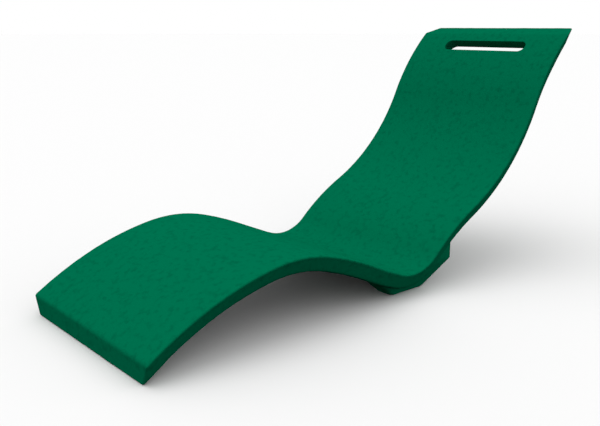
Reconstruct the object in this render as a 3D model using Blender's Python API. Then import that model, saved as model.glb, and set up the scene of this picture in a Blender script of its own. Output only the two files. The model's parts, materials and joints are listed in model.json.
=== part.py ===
"""Wave-shaped moulded lounger for the shallow ledge of a pool.

One hollow shell stands on the edge of its foot end and on a base with two runners under the seat.
It is weighted with water through a screw plug high on the back and emptied through a second one in
the base. Rubber pads under the runners are held by screws in moulded-in brass inserts.

Metres, +Z up. X runs across the lounger, +Y from the foot end to the head, Z = 0 is the pool floor.
Every length along Y below is measured from the foot end, and the finished lounger is then centred.
"""

import math

import bmesh
import bpy
from mathutils import Matrix, Vector

# --- driving dimensions -------------------------------------------------------------------------

WIDTH = 0.675  # across the upper edges of the shell, before rounding
SIDE_DRAFT = 0.0252  # each side wall leans in by this from its upper to its lower edge
THICKNESS = 0.0525  # between the seat surface and the underside
END_THICKNESS = 0.0446  # at the head end, where the back surface runs straight
TAPER_START = 2.03  # distance along the seat where the back surface turns straight
WALL = 0.005  # moulded wall
EDGE_ROUND = 0.008  # width of the rounding on each face at the shell's edges
EDGE_STEPS = 4
TIP_ROUND_SHARE = 0.3  # the back edge of the head end is rounded by this share of EDGE_ROUND

FOOT_FACE = (0.0613, -0.003)  # upper and lower edge height of the upright face at the foot end
HEAD_TIP = (1.8525, 0.8466)  # y and z of the back edge of the head end, before rounding
LENGTH = 1.8511  # overall, after rounding

# The seat surface, from the foot end: (length of the arc, turn in degrees), each tangent to the last.
SEAT_HEADING = 34.1
SEAT_ARCS = (
    (0.221, -11.7),  # calf rest, rising
    (0.215, -12.7),
    (0.220, -26.5),  # knee
    (0.202, -8.9),  # thigh rest, falling
    (0.123, 6.4),
    (0.173, 62.1),  # seat
    (0.151, -10.9),  # lumbar swell
    (0.083, -5.35),
    (0.470, 37.2),  # backrest
    (0.3055, -23.1),  # head rest
)
STATION_TURN = 5.0  # degrees between two sections of the shell

# The cavity's faces lean, so they lie this many walls inside where they are measured level.
LEAN_SIDE = 1.1  # the side walls
LEAN_FOOT_TOP = 1.2  # the seat at the foot end
LEAN_FOOT_LOW = 1.9  # the underside at the foot end
LEAN_BASE = 1.6  # the base's front and rear faces
CAVITY_ROUND = 0.006
CAVITY_STEPS = 2
CAVITY_END_SHARE = 0.6  # the rounding at the cavity's head end, as a share of CAVITY_ROUND

BASE_FRONT = 0.9315  # y of the runners' front edge on the floor
BASE_REAR = 1.0755  # y of the base's rear edge on the floor
BASE_HALF_WIDTH = 0.2780  # on the floor
BASE_FLARE_Y = 1.246  # the front and rear faces lean outwards by this per metre of height
BASE_FLARE_X = 0.372  # the side faces lean outwards by this per metre of height
BASE_SHOULDER = 0.0887  # height where the leaning faces turn upright
BASE_TOP = 0.185  # the base runs up to here, and is then cut off inside the slab
BASE_SPAN = (0.5, 1.7)  # distances along the seat between which the base meets the slab
BASE_EDGE_ROUND = 0.004
BASE_EDGE_STEPS = 3
RUNNER_FRONT_RADIUS = 0.015  # plan radii of the base's corners
BASE_REAR_RADIUS = 0.006
RELIEF_MOUTH_RADIUS = 0.010
RELIEF_CORNER_RADIUS = 0.030
LEAST_OUTER_RADIUS = 0.004  # inside the cavity
LEAST_REAR_RADIUS = 0.003
RELIEF_HALF_WIDTH = 0.217  # hollow between the two runners
RELIEF_LEAN_X = -0.05  # the hollow's half width grows by this per metre of height
RELIEF_REAR = 1.030  # its back wall on the floor
RELIEF_LEAN_Y = 0.3  # and leans back by this per metre of height
SOLE = 0.0015  # height of the base's own sole; the pads reach down to the floor

SLOT_CENTRE = 2.0970  # distance along the seat
SLOT_HALF_LENGTH = 0.186
SLOT_RADIUS = 0.0238
SLOT_FLARE = 0.009  # the slot is wider by this all round at the back surface
SLOT_LIP = 0.004  # rounding of the slot's edges
SLOT_LIP_STEPS = 4
SLOT_LIP_START = 0.0002  # the rounding starts this far outside the face
SLEEVE_REACH = 0.05  # the slot's wall reaches this far to both sides of the slab's middle

GAP = 0.0003  # between touching pieces
REACH = 0.010  # cutters stick out of a face by this
SEGMENTS = 32  # round pieces
SMALL_SEGMENTS = 24  # screws and their bushes
SOCKET_SEGMENTS = 6

# Screw port: radii, and depths below the surface around it.
FACE_RADIUS = 0.029
FACE_DEPTH = 0.008
BOSS_RADIUS = 0.033
BOSS_DEPTH = 0.030
FACE_REACH = 0.012  # the cutter of the recess sticks out by this
BORE_REACH = 0.002  # and goes past the boss's inner end by this
INSERT_RADIUS = 0.0225
INSERT_FLOOR = 0.004  # wall between the insert and the boss's inner end
INSERT_ANCHOR = 0.026
ANCHOR_ROOT = 0.0025  # half height of the anchor flange where it meets the insert
ANCHOR_RIM = 0.0015  # and at its rim
INSERT_BORE = 0.0172
GASKET_RADIUS = 0.0245
GASKET_THICKNESS = 0.002
GASKET_EDGE = 0.0005  # chamfer
PLUG_RADIUS = 0.0265
PLUG_HEAD = 0.0056
PLUG_EDGE = 0.0012  # chamfer of the head
SHANK_EDGE = 0.001  # chamfer of the shank's end
PLUG_SHANK = 0.0166
PLUG_SHANK_LENGTH = 0.0165
PLUG_WALL = 0.003
PLUG_HOLLOW_TOP = 0.001  # the shank's hollow ends this far below the head
GRIP_POCKET_DEPTH = 0.0036
GRIP_RADIUS = 0.020  # of the two D-shaped finger pockets
GRIP_BAR_HALF = 0.0035  # half width of the bar between them
GRIP_STEPS = 10
FILL_PORT_AT = 1.930  # distance along the seat, on the back surface
DRAIN_PORT_HEIGHT = 0.0443  # on the base's leaning rear face

# Runner pad, its screws and inserts.
PAD_LENGTH = 0.104
PAD_WIDTH = 0.034
PAD_THICKNESS = 0.0045
PAD_CORNER = 0.008
PAD_CENTRE = (0.2435, 1.0035)
PAD_GROOVES = 5
GROOVE_PITCH = 0.009
GROOVE_HALF_WIDTH = 0.001
GROOVE_DEPTH = 0.0012
GROOVE_HALF_LENGTH = 0.03
PAD_SCREW_SPACING = 0.066
SCREW_RADIUS = 0.0025
SCREW_HEAD_RADIUS = 0.0046
SCREW_HEAD_DEPTH = 0.0026
SCREW_SINK = 0.0008  # the head's face lies this far above the pad's face
SCREW_LENGTH = 0.0135
SCREW_HEAD_EDGE = 0.0003  # chamfers
SCREW_TIP_EDGE = 0.0006
SOCKET_RADIUS = 0.0017
SOCKET_DEPTH = 0.0016
SCREW_HOLE_TOP = 0.02  # the cutter of a pad's screw hole ends at this height
BUSH_RADIUS = 0.0042
BUSH_LENGTH = 0.012
BUSH_BORE_GAP = 0.0002
BUSH_GROOVE = 0.0006  # depth of the anchor groove round a bush
BUSH_GROOVE_HALF = 0.001  # its half width outside
BUSH_GROOVE_FLOOR = 0.0005  # and at its floor
BUSH_END = 0.0015  # closed end
BUSH_BOSS_RADIUS = 0.0085
BUSH_BOSS_TOP = 0.003  # solid above a bush

# Materials: name, colour in linear light, roughness, metallic value.
MOULDED_GREEN = ("moulded_green", (0.0008, 0.150, 0.069), 0.62, 0.0)
PLUG_GREEN = ("plug_green", (0.0006, 0.085, 0.040), 0.5, 0.0)
BLACK_RUBBER = ("black_rubber", (0.012, 0.012, 0.013), 0.8, 0.0)
INSERT_BRASS = ("insert_brass", (0.56, 0.40, 0.17), 0.35, 1.0)
SCREW_STEEL = ("screw_steel", (0.55, 0.56, 0.57), 0.3, 1.0)


# --- scene helpers ------------------------------------------------------------------------------

def clear_scene():
    """Removes every object, so that the script can be run again in the same file."""
    for item in list(bpy.data.objects):
        bpy.data.objects.remove(item, do_unlink=True)


def make_material(name, colour, roughness, metallic):
    """A Principled material with the given colour, roughness and metallic value."""
    material = bpy.data.materials.new(name)
    material.use_nodes = True
    shader = material.node_tree.nodes["Principled BSDF"]
    shader.inputs["Base Color"].default_value = (*colour, 1.0)
    shader.inputs["Roughness"].default_value = roughness
    shader.inputs["Metallic"].default_value = metallic
    return material


def add_object(name, bm, material=None):
    """Turns a bmesh into a named object, with its faces pointing out."""
    bmesh.ops.recalc_face_normals(bm, faces=bm.faces)
    mesh = bpy.data.meshes.new(name)
    bm.to_mesh(mesh)
    bm.free()
    item = bpy.data.objects.new(name, mesh)
    bpy.context.scene.collection.objects.link(item)
    if material is not None:
        mesh.materials.append(material)
    mesh.shade_smooth()
    mesh.set_sharp_from_angle(angle=math.radians(30))
    return item


def as_cutter(item):
    """Marks an object as a tool for Booleans, which isn't a piece of the lounger."""
    item.hide_render = True
    item.display_type = "WIRE"
    return item


def add_boolean(item, other, operation):
    """Adds an exact Boolean modifier to an object."""
    modifier = item.modifiers.new(f"{operation.lower()}_{other.name}", "BOOLEAN")
    modifier.operation = operation
    modifier.solver = "EXACT"
    modifier.object = other


def add_weighted_bevel(item, width, segments):
    """Rounds the edges that carry a bevel weight."""
    modifier = item.modifiers.new("rounding", "BEVEL")
    modifier.width = width
    modifier.segments = segments
    modifier.limit_method = "WEIGHT"
    modifier.use_clamp_overlap = True


def skin_rings(bm, rings, weights=None):
    """Joins closed rings of equal length with quads and caps both ends.

    weights maps (ring index, point index) pairs to the bevel weight of the edge that runs on to the
    next ring, and ("ring", ring index, point index) to that of the edge inside the ring.
    """
    layer = bm.edges.layers.float.new("bevel_weight_edge") if weights else None
    loops = [[bm.verts.new(p) for p in ring] for ring in rings]
    count = len(rings[0])
    for lower, upper in zip(loops, loops[1:]):
        for i in range(count):
            j = (i + 1) % count
            bm.faces.new((lower[i], lower[j], upper[j], upper[i]))
    bm.faces.new(list(reversed(loops[0])))
    bm.faces.new(loops[-1])
    if layer is None:
        return
    for key, weight in weights.items():
        if key[0] == "ring":
            a = loops[key[1]][key[2]]
            b = loops[key[1]][(key[2] + 1) % count]
        else:
            a = loops[key[0]][key[1]]
            b = loops[key[0] + 1][key[1]]
        bm.edges.get((a, b))[layer] = weight


def turned(name, profile, frame, material=None, segments=SEGMENTS):
    """A body of revolution about the local Z axis of frame, from a closed (radius, height) outline.

    Outline points with radius 0 lie on the axis and are shared by all segments.
    """
    bm = bmesh.new()
    angles = [2 * math.pi * i / segments for i in range(segments)]
    columns = []
    for radius, height in profile:
        if radius < 1e-9:
            columns.append([bm.verts.new((0, 0, height))] * segments)
            continue
        columns.append(
            [bm.verts.new((radius * math.cos(a), radius * math.sin(a), height)) for a in angles]
        )
    for first, second in zip(columns, columns[1:] + columns[:1]):
        for i in range(segments):
            j = (i + 1) % segments
            corners = []
            for vert in (first[i], first[j], second[j], second[i]):
                if vert not in corners:
                    corners.append(vert)
            if len(corners) > 2:
                bm.faces.new(corners)
    item = add_object(name, bm, material)
    item.matrix_world = frame
    return item


def frame_at(origin, outward):
    """A placement whose local Z points along outward and whose local X stays the world's X."""
    z_axis = Vector(outward).normalized()
    x_axis = Vector((1, 0, 0))
    y_axis = z_axis.cross(x_axis)
    turn = Matrix((x_axis, y_axis, z_axis)).transposed().to_4x4()
    return Matrix.Translation(Vector(origin)) @ turn


# --- the wave profile ---------------------------------------------------------------------------

def arc_point(distance):
    """Seat surface at a distance from the foot end: (y, z, heading in radians)."""
    y, z = 0.0, FOOT_FACE[0]
    heading = math.radians(SEAT_HEADING)
    for length, degrees in SEAT_ARCS:
        step = min(max(distance, 0.0), length)
        turn = math.radians(degrees) * step / length
        chord = 2 * length / math.radians(degrees) * math.sin(turn / 2)
        y += chord * math.cos(heading + turn / 2)
        z += chord * math.sin(heading + turn / 2)
        heading += turn
        distance -= length
        if distance <= 0:
            break
    return y, z, heading


def seat_length():
    """Length of the seat surface from the foot end to the head end."""
    return sum(length for length, _ in SEAT_ARCS)


def thickness_at(distance):
    """Slab thickness: constant, and falling with a smooth start over the straight head end."""
    share = max(0.0, (distance - TAPER_START) / (seat_length() - TAPER_START))
    return THICKNESS - (THICKNESS - END_THICKNESS) * share**1.5


def depth_point(distance, depth):
    """Point (y, z) at a depth under the seat surface, square to it."""
    y, z, heading = arc_point(distance)
    return y + depth * math.sin(heading), z - depth * math.cos(heading)


def stations():
    """Distances of the sections, closer together where the seat turns faster."""
    found = [0.0]
    start = 0.0
    for length, degrees in SEAT_ARCS:
        steps = max(3, math.ceil(abs(degrees) / STATION_TURN))
        found += [start + length * (i + 1) / steps for i in range(steps)]
        start += length
    return found


def middle(a, b):
    """Point halfway between a and b."""
    return tuple((p + q) / 2 for p, q in zip(a, b))


def slab_sections(inset):
    """(upper point, lower point) of each section; inset moves every face inwards."""
    sections = []
    for s in stations():
        upper = depth_point(s, inset)
        lower = depth_point(s, thickness_at(s) - inset)
        sections.append((upper, lower))
    foot_upper = (inset, FOOT_FACE[0] - inset * LEAN_FOOT_TOP)
    foot_lower = (inset, FOOT_FACE[1] + inset * LEAN_FOOT_LOW)
    sections[0] = (foot_upper, foot_lower)
    head_upper, head_lower = sections[-1]
    if inset > 0:
        head_upper = depth_point(seat_length() - inset * LEAN_FOOT_TOP, inset)
        sections[-1] = (head_upper, head_lower)
        return sections
    sections.append((middle(head_upper, HEAD_TIP), HEAD_TIP))
    return sections


def build_slab(name, inset, rounding, segments):
    """The wave slab: each section is a trapezium, wide at the seat and narrower below."""
    top = WIDTH / 2 - inset * LEAN_SIDE
    bottom = top - SIDE_DRAFT
    rings = []
    for (uy, uz), (ly, lz) in slab_sections(inset):
        rings.append([(top, uy, uz), (-top, uy, uz), (-bottom, ly, lz), (bottom, ly, lz)])
    last = len(rings) - 1
    if inset == 0:
        (_, uy, uz), narrower = rings[last][0], top - SIDE_DRAFT / 2
        rings[last][:2] = [(narrower, uy, uz), (-narrower, uy, uz)]
    weights = {}
    for ring in range(last):
        for corner in range(4):
            weights[(ring, corner)] = 1.0
    for edge in range(4):
        weights[("ring", 0, edge)] = 1.0
    weights[("ring", last, 2)] = TIP_ROUND_SHARE
    if inset > 0:
        for edge in range(4):
            weights[("ring", last, edge)] = CAVITY_END_SHARE
    bm = bmesh.new()
    skin_rings(bm, rings, weights)
    slab = add_object(name, bm)
    add_weighted_bevel(slab, rounding, segments)
    return slab


def rounded_outline(corners, steps=4):
    """Plan outline with an arc at each corner, from (x, y, radius) corners in order."""
    points = []
    count = len(corners)
    for i, (x, y, radius) in enumerate(corners):
        here = Vector((x, y))
        back = (Vector(corners[i - 1][:2]) - here).normalized()
        ahead = (Vector(corners[(i + 1) % count][:2]) - here).normalized()
        half = back.angle(ahead) / 2
        reach = radius / math.tan(half)
        centre = here + (back + ahead).normalized() * (radius / math.sin(half))
        first = here + back * reach - centre
        sweep = first.angle_signed(here + ahead * reach - centre)
        for k in range(steps + 1):
            turn = Matrix.Rotation(-sweep * k / steps, 2)
            points.append(tuple(centre + turn @ first))
    return points


def base_outline(height, inset):
    """Plan of the base at a height: a U whose two legs are the runners."""
    rise = min(height, BASE_SHOULDER)
    half = BASE_HALF_WIDTH + BASE_FLARE_X * rise - inset * LEAN_SIDE
    front = BASE_FRONT - BASE_FLARE_Y * rise + inset * LEAN_BASE
    rear = BASE_REAR + BASE_FLARE_Y * rise - inset * LEAN_BASE
    inner = RELIEF_HALF_WIDTH + RELIEF_LEAN_X * rise + inset
    back = RELIEF_REAR + RELIEF_LEAN_Y * rise + inset
    outer_radius = max(RUNNER_FRONT_RADIUS - inset, LEAST_OUTER_RADIUS)
    rear_radius = max(BASE_REAR_RADIUS - inset, LEAST_REAR_RADIUS)
    relief_radius = RELIEF_CORNER_RADIUS + inset
    return rounded_outline(
        [
            (half, front, outer_radius),
            (half, rear, rear_radius),
            (-half, rear, rear_radius),
            (-half, front, outer_radius),
            (-inner, front, RELIEF_MOUTH_RADIUS),
            (-inner, back, relief_radius),
            (inner, back, relief_radius),
            (inner, front, RELIEF_MOUTH_RADIUS),
        ]
    )


def build_base(name, inset, rounding):
    """The base block, lofted from the sole through the shoulder, and cut off inside the slab."""
    levels = (SOLE + inset, BASE_SHOULDER, BASE_TOP)
    rings = [[(x, y, z) for x, y in base_outline(z, inset)] for z in levels]
    bm = bmesh.new()
    weights = {("ring", 0, i): 1.0 for i in range(len(rings[0]))} if rounding else None
    skin_rings(bm, rings, weights)
    base = as_cutter(add_object(name, bm))
    if rounding:
        add_weighted_bevel(base, rounding, BASE_EDGE_STEPS)
    first, last = BASE_SPAN
    ceiling = [depth_point(s, THICKNESS / 2) for s in stations() if first < s < last]
    above = LENGTH / 2  # anything over the slab
    outline = [*ceiling, (ceiling[-1][0], above), (ceiling[0][0], above)]
    bm = bmesh.new()
    skin_rings(bm, [[(x, y, z) for y, z in outline] for x in (-WIDTH, WIDTH)])
    upper = as_cutter(add_object(f"{name}_ceiling", bm))
    add_boolean(base, upper, "DIFFERENCE")
    return base


def stadium(half_length, radius, steps=8):
    """Outline of a slot with round ends, in the plane of the slab."""
    points = []
    for side in (1, -1):
        for k in range(steps + 1):
            angle = math.pi * (k / steps - 0.5)
            x = half_length - radius + radius * math.cos(angle)
            points.append((side * x, side * radius * math.sin(angle)))
    return points


def slot_frame():
    """Placement of the hand slot: origin at the middle of the slab, local Z out of the seat."""
    y, z = depth_point(SLOT_CENTRE, thickness_at(SLOT_CENTRE) / 2)
    heading = arc_point(SLOT_CENTRE)[2]
    return frame_at((0, y, z), (0, -math.sin(heading), math.cos(heading)))


def slot_rings(levels):
    """Slot outlines at (height, extra width) levels, flaring evenly from the seat to the back."""
    half = thickness_at(SLOT_CENTRE) / 2
    rings = []
    for height, extra in levels:
        outset = extra + SLOT_FLARE * (half - height) / (2 * half)
        outline = stadium(SLOT_HALF_LENGTH + outset, SLOT_RADIUS + outset)
        rings.append([(x, y, height) for x, y in outline])
    return rings


def build_slot_cutter():
    """The slot with its lip rounded by a quarter circle at both faces."""
    half = thickness_at(SLOT_CENTRE) / 2
    levels = [(half + REACH, 2 * SLOT_LIP), (half + SLOT_LIP_START, SLOT_LIP)]
    for k in range(1, SLOT_LIP_STEPS + 1):
        angle = math.pi / 2 * k / SLOT_LIP_STEPS
        extra = SLOT_LIP * (1 - math.sin(angle))
        levels.append((half - SLOT_LIP * (1 - math.cos(angle)), extra))
    levels += [(-height, extra) for height, extra in reversed(levels)]
    bm = bmesh.new()
    skin_rings(bm, slot_rings(levels))
    cutter = as_cutter(add_object("cut_hand_slot", bm))
    cutter.matrix_world = slot_frame()
    return cutter


def build_slot_sleeve():
    """The tube of wall around the slot, kept out of the cavity."""
    bm = bmesh.new()
    skin_rings(bm, slot_rings([(-SLEEVE_REACH, WALL), (SLEEVE_REACH, WALL)]))
    sleeve = as_cutter(add_object("keep_slot_sleeve", bm))
    sleeve.matrix_world = slot_frame()
    return sleeve


# --- screw ports --------------------------------------------------------------------------------

def fill_port_frame():
    """High on the back surface, local Z pointing out of it."""
    y, z = depth_point(FILL_PORT_AT, THICKNESS)
    heading = arc_point(FILL_PORT_AT)[2]
    return frame_at((0, y, z), (0, math.sin(heading), -math.cos(heading)))


def drain_port_frame():
    """On the base's leaning rear face, local Z pointing out of it."""
    y = BASE_REAR + BASE_FLARE_Y * DRAIN_PORT_HEIGHT
    return frame_at((0, y, DRAIN_PORT_HEIGHT), (0, 1.0, -BASE_FLARE_Y))


def build_port_boss(name, frame):
    """Solid wall around a port, kept out of the cavity."""
    profile = [(0, REACH), (BOSS_RADIUS, REACH), (BOSS_RADIUS, -BOSS_DEPTH), (0, -BOSS_DEPTH)]
    return as_cutter(turned(f"keep_{name}_boss", profile, frame))


def insert_outline(gap):
    """(radius, height) outline of the moulded-in bush's outside, with its anchor flange."""
    top = -FACE_DEPTH - GAP + gap
    low = -BOSS_DEPTH + INSERT_FLOOR - gap
    centre = (top + low) / 2
    return [
        (INSERT_RADIUS + gap, top),
        (INSERT_RADIUS + gap, centre + ANCHOR_ROOT + gap),
        (INSERT_ANCHOR + gap, centre + ANCHOR_RIM + gap),
        (INSERT_ANCHOR + gap, centre - ANCHOR_RIM - gap),
        (INSERT_RADIUS + gap, centre - ANCHOR_ROOT - gap),
        (INSERT_RADIUS + gap, low),
    ]


def build_port_cutter(name, frame):
    """Everything that a port takes out of the shell: the recessed face, the bush and the way in."""
    seat = insert_outline(GAP)[1:]
    profile = [
        (0, FACE_REACH),
        (FACE_RADIUS, FACE_REACH),
        (FACE_RADIUS, -FACE_DEPTH),
        (INSERT_RADIUS + GAP, -FACE_DEPTH),
        *seat,
        (INSERT_BORE, seat[-1][1]),
        (INSERT_BORE, -BOSS_DEPTH - BORE_REACH),
        (0, -BOSS_DEPTH - BORE_REACH),
    ]
    return as_cutter(turned(f"cut_{name}", profile, frame))


def build_port_pieces(name, frame, brass, rubber, plastic):
    """The bush, gasket and plug of one port; gasket and plug turn about their own local Z."""
    outside = insert_outline(0.0)
    inside = [(INSERT_BORE, outside[-1][1]), (INSERT_BORE, outside[0][1])]
    turned(f"{name}_insert", [*outside, *inside], frame, brass)

    seat_height = -FACE_DEPTH + GAP
    gasket_top = seat_height + GASKET_THICKNESS
    hole = INSERT_BORE + GAP
    gasket = [
        (GASKET_RADIUS - GASKET_EDGE, gasket_top),
        (GASKET_RADIUS, gasket_top - GASKET_EDGE),
        (GASKET_RADIUS, seat_height + GASKET_EDGE),
        (GASKET_RADIUS - GASKET_EDGE, seat_height),
        (hole + GASKET_EDGE, seat_height),
        (hole, seat_height + GASKET_EDGE),
        (hole, gasket_top - GASKET_EDGE),
        (hole + GASKET_EDGE, gasket_top),
    ]
    turned(f"{name}_gasket", gasket, frame, rubber)

    under = gasket_top + GAP
    face = under + PLUG_HEAD
    end = under - PLUG_SHANK_LENGTH
    plug = [
        (0, face),
        (PLUG_RADIUS - PLUG_EDGE, face),
        (PLUG_RADIUS, face - PLUG_EDGE),
        (PLUG_RADIUS, under),
        (PLUG_SHANK, under),
        (PLUG_SHANK, end + SHANK_EDGE),
        (PLUG_SHANK - SHANK_EDGE, end),
        (PLUG_SHANK - PLUG_WALL, end),
        (PLUG_SHANK - PLUG_WALL, under - PLUG_HOLLOW_TOP),
        (0, under - PLUG_HOLLOW_TOP),
    ]
    body = turned(f"{name}_plug", plug, frame, plastic)
    for side, label in ((1, "upper"), (-1, "lower")):
        pocket = build_grip_pocket(f"cut_{name}_grip_{label}", side, face)
        pocket.matrix_world = frame
        add_boolean(body, pocket, "DIFFERENCE")


def build_grip_pocket(name, side, face):
    """Cutter of one D-shaped finger pocket, on one side (+1 or -1) of the bar across the plug."""
    start = math.asin(GRIP_BAR_HALF / GRIP_RADIUS)
    outline = []
    for k in range(GRIP_STEPS + 1):
        angle = start + (math.pi - 2 * start) * k / GRIP_STEPS
        outline.append((GRIP_RADIUS * math.cos(angle), side * GRIP_RADIUS * math.sin(angle)))
    bm = bmesh.new()
    skin_rings(bm, [[(x, y, z) for x, y in outline] for z in (face - GRIP_POCKET_DEPTH, face + REACH)])
    return as_cutter(add_object(name, bm))


# --- runner pads --------------------------------------------------------------------------------

def upright(x, y):
    """A placement on the floor whose axes are the world's."""
    return Matrix.Translation((x, y, 0))


def screw_places(side):
    """World (x, y) of the two screws of the pad on one side (+1 or -1)."""
    x, y = PAD_CENTRE
    return [(side * x, y + PAD_SCREW_SPACING * share) for share in (-0.5, 0.5)]


def build_box(name, low, high, material=None):
    """A box between two corners."""
    bm = bmesh.new()
    outline = [(low[0], low[1]), (high[0], low[1]), (high[0], high[1]), (low[0], high[1])]
    skin_rings(bm, [[(x, y, z) for x, y in outline] for z in (low[2], high[2])])
    return add_object(name, bm, material)


def pad_outline(side, grow):
    """Plan of a pad with round corners; grow makes it larger all round."""
    x, y = PAD_CENTRE
    half_x, half_y = PAD_WIDTH / 2 + grow, PAD_LENGTH / 2 + grow
    radius = PAD_CORNER + grow
    x *= side
    return rounded_outline(
        [
            (x + half_x, y - half_y, radius),
            (x + half_x, y + half_y, radius),
            (x - half_x, y + half_y, radius),
            (x - half_x, y - half_y, radius),
        ]
    )


def build_pad(name, side, rubber):
    """A ribbed rubber pad with two countersunk holes."""
    bm = bmesh.new()
    skin_rings(bm, [[(x, y, z) for x, y in pad_outline(side, 0.0)] for z in (0.0, PAD_THICKNESS)])
    pad = add_object(name, bm, rubber)
    for i in range(PAD_GROOVES):
        x, y = side * PAD_CENTRE[0], PAD_CENTRE[1] + (i - (PAD_GROOVES - 1) / 2) * GROOVE_PITCH
        low = (x - GROOVE_HALF_LENGTH, y - GROOVE_HALF_WIDTH, -REACH)
        high = (x + GROOVE_HALF_LENGTH, y + GROOVE_HALF_WIDTH, GROOVE_DEPTH)
        add_boolean(pad, as_cutter(build_box(f"cut_{name}_groove_{i + 1}", low, high)), "DIFFERENCE")
    for number, (x, y) in enumerate(screw_places(side), 1):
        sunk = SCREW_SINK + 3 * GAP
        profile = [
            (0, -REACH),
            (SCREW_HEAD_RADIUS + GAP, -REACH),
            (SCREW_HEAD_RADIUS + GAP, sunk),
            (SCREW_RADIUS + GAP, sunk + SCREW_HEAD_DEPTH),
            (SCREW_RADIUS + GAP, SCREW_HOLE_TOP),
            (0, SCREW_HOLE_TOP),
        ]
        hole = turned(f"cut_{name}_hole_{number}", profile, upright(x, y), None, SMALL_SEGMENTS)
        add_boolean(pad, as_cutter(hole), "DIFFERENCE")
    return pad


def build_pad_screw(name, x, y, steel):
    """Countersunk screw with a hexagon socket, pointing up into its bush."""
    low = SCREW_SINK + GAP
    neck = low + SCREW_HEAD_DEPTH
    tip, floor = low + SCREW_LENGTH, low + SOCKET_DEPTH
    profile = [
        (0, low),
        (SCREW_HEAD_RADIUS - SCREW_HEAD_EDGE, low),
        (SCREW_HEAD_RADIUS, low + SCREW_HEAD_EDGE),
        (SCREW_RADIUS, neck),
        (SCREW_RADIUS, tip - SCREW_TIP_EDGE),
        (SCREW_RADIUS - SCREW_TIP_EDGE, tip),
        (0, tip),
    ]
    screw = turned(name, profile, upright(x, y), steel, SMALL_SEGMENTS)
    socket = [(0, -REACH), (SOCKET_RADIUS, -REACH), (SOCKET_RADIUS, floor), (0, floor)]
    tool = turned(f"cut_{name}_socket", socket, upright(x, y), None, SOCKET_SEGMENTS)
    add_boolean(screw, as_cutter(tool), "DIFFERENCE")


def build_pin(name, x, y, radius, top):
    """An upright round cutter that reaches from below the floor up to a height."""
    profile = [(0, -REACH), (radius, -REACH), (radius, top), (0, top)]
    return as_cutter(turned(name, profile, upright(x, y), None, SMALL_SEGMENTS))


def bush_heights():
    """Lower and upper height of the threaded bushes over a pad."""
    low = PAD_THICKNESS + GAP
    return low, low + BUSH_LENGTH


def build_pad_bush(name, x, y, brass):
    """Blind threaded bush, moulded into the sole above a pad."""
    low, high = bush_heights()
    centre = (low + high) / 2
    bore = SCREW_RADIUS + BUSH_BORE_GAP
    profile = [
        (bore, low),
        (BUSH_RADIUS, low),
        (BUSH_RADIUS, centre - BUSH_GROOVE_HALF),
        (BUSH_RADIUS - BUSH_GROOVE, centre - BUSH_GROOVE_FLOOR),
        (BUSH_RADIUS - BUSH_GROOVE, centre + BUSH_GROOVE_FLOOR),
        (BUSH_RADIUS, centre + BUSH_GROOVE_HALF),
        (BUSH_RADIUS, high),
        (0, high),
        (0, high - BUSH_END),
        (bore, high - BUSH_END),
    ]
    turned(name, profile, upright(x, y), brass, SMALL_SEGMENTS)


def build_pad_tools(name, side):
    """The shell's recess for a pad with its bush holes, and the bosses kept out of the cavity."""
    low, high = bush_heights()
    bm = bmesh.new()
    outline = pad_outline(side, GAP)
    skin_rings(bm, [[(x, y, z) for x, y in outline] for z in (-REACH, low)])
    cuts = [as_cutter(add_object(f"cut_{name}_recess", bm))]
    bm = bmesh.new()
    thick = pad_outline(side, WALL)
    skin_rings(bm, [[(x, y, z) for x, y in thick] for z in (-REACH, low + WALL)])
    keeps = [as_cutter(add_object(f"keep_{name}_floor", bm))]
    for number, (x, y) in enumerate(screw_places(side), 1):
        cuts.append(build_pin(f"cut_{name}_bush_{number}", x, y, BUSH_RADIUS + GAP, high + GAP))
        top = high + BUSH_BOSS_TOP
        keeps.append(build_pin(f"keep_{name}_boss_{number}", x, y, BUSH_BOSS_RADIUS, top))
    return cuts, keeps


# --- assembly -----------------------------------------------------------------------------------

def centre_on_origin():
    """Hangs every object on an empty that brings the middle of the lounger's length to Y = 0."""
    empty = bpy.data.objects.new("lounger", None)
    bpy.context.scene.collection.objects.link(empty)
    empty.location = (0, -LENGTH / 2, 0)
    for item in bpy.data.objects:
        if item is not empty:
            item.parent = empty


def build_shell(plastic, ports, pads):
    """The hollow moulding: slab and base, less the slot, the cavity, the ports and the recesses."""
    shell = build_slab("shell", 0.0, EDGE_ROUND, EDGE_STEPS)
    shell.data.materials.append(plastic)
    base = build_base("join_base", 0.0, BASE_EDGE_ROUND)
    add_boolean(shell, base, "UNION")
    add_boolean(shell, build_slot_cutter(), "DIFFERENCE")

    cavity = as_cutter(build_slab("cavity", WALL, CAVITY_ROUND, CAVITY_STEPS))
    add_boolean(cavity, build_base("join_base_cavity", WALL, 0.0), "UNION")
    add_boolean(cavity, build_slot_sleeve(), "DIFFERENCE")
    cuts = []
    for name, frame in ports.items():
        add_boolean(cavity, build_port_boss(name, frame), "DIFFERENCE")
        cuts.append(build_port_cutter(name, frame))
    for name, side in pads.items():
        recess, keeps = build_pad_tools(name, side)
        cuts += recess
        for keep in keeps:
            add_boolean(cavity, keep, "DIFFERENCE")
    add_boolean(shell, cavity, "DIFFERENCE")
    for cut in cuts:
        add_boolean(shell, cut, "DIFFERENCE")
    return shell


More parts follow.
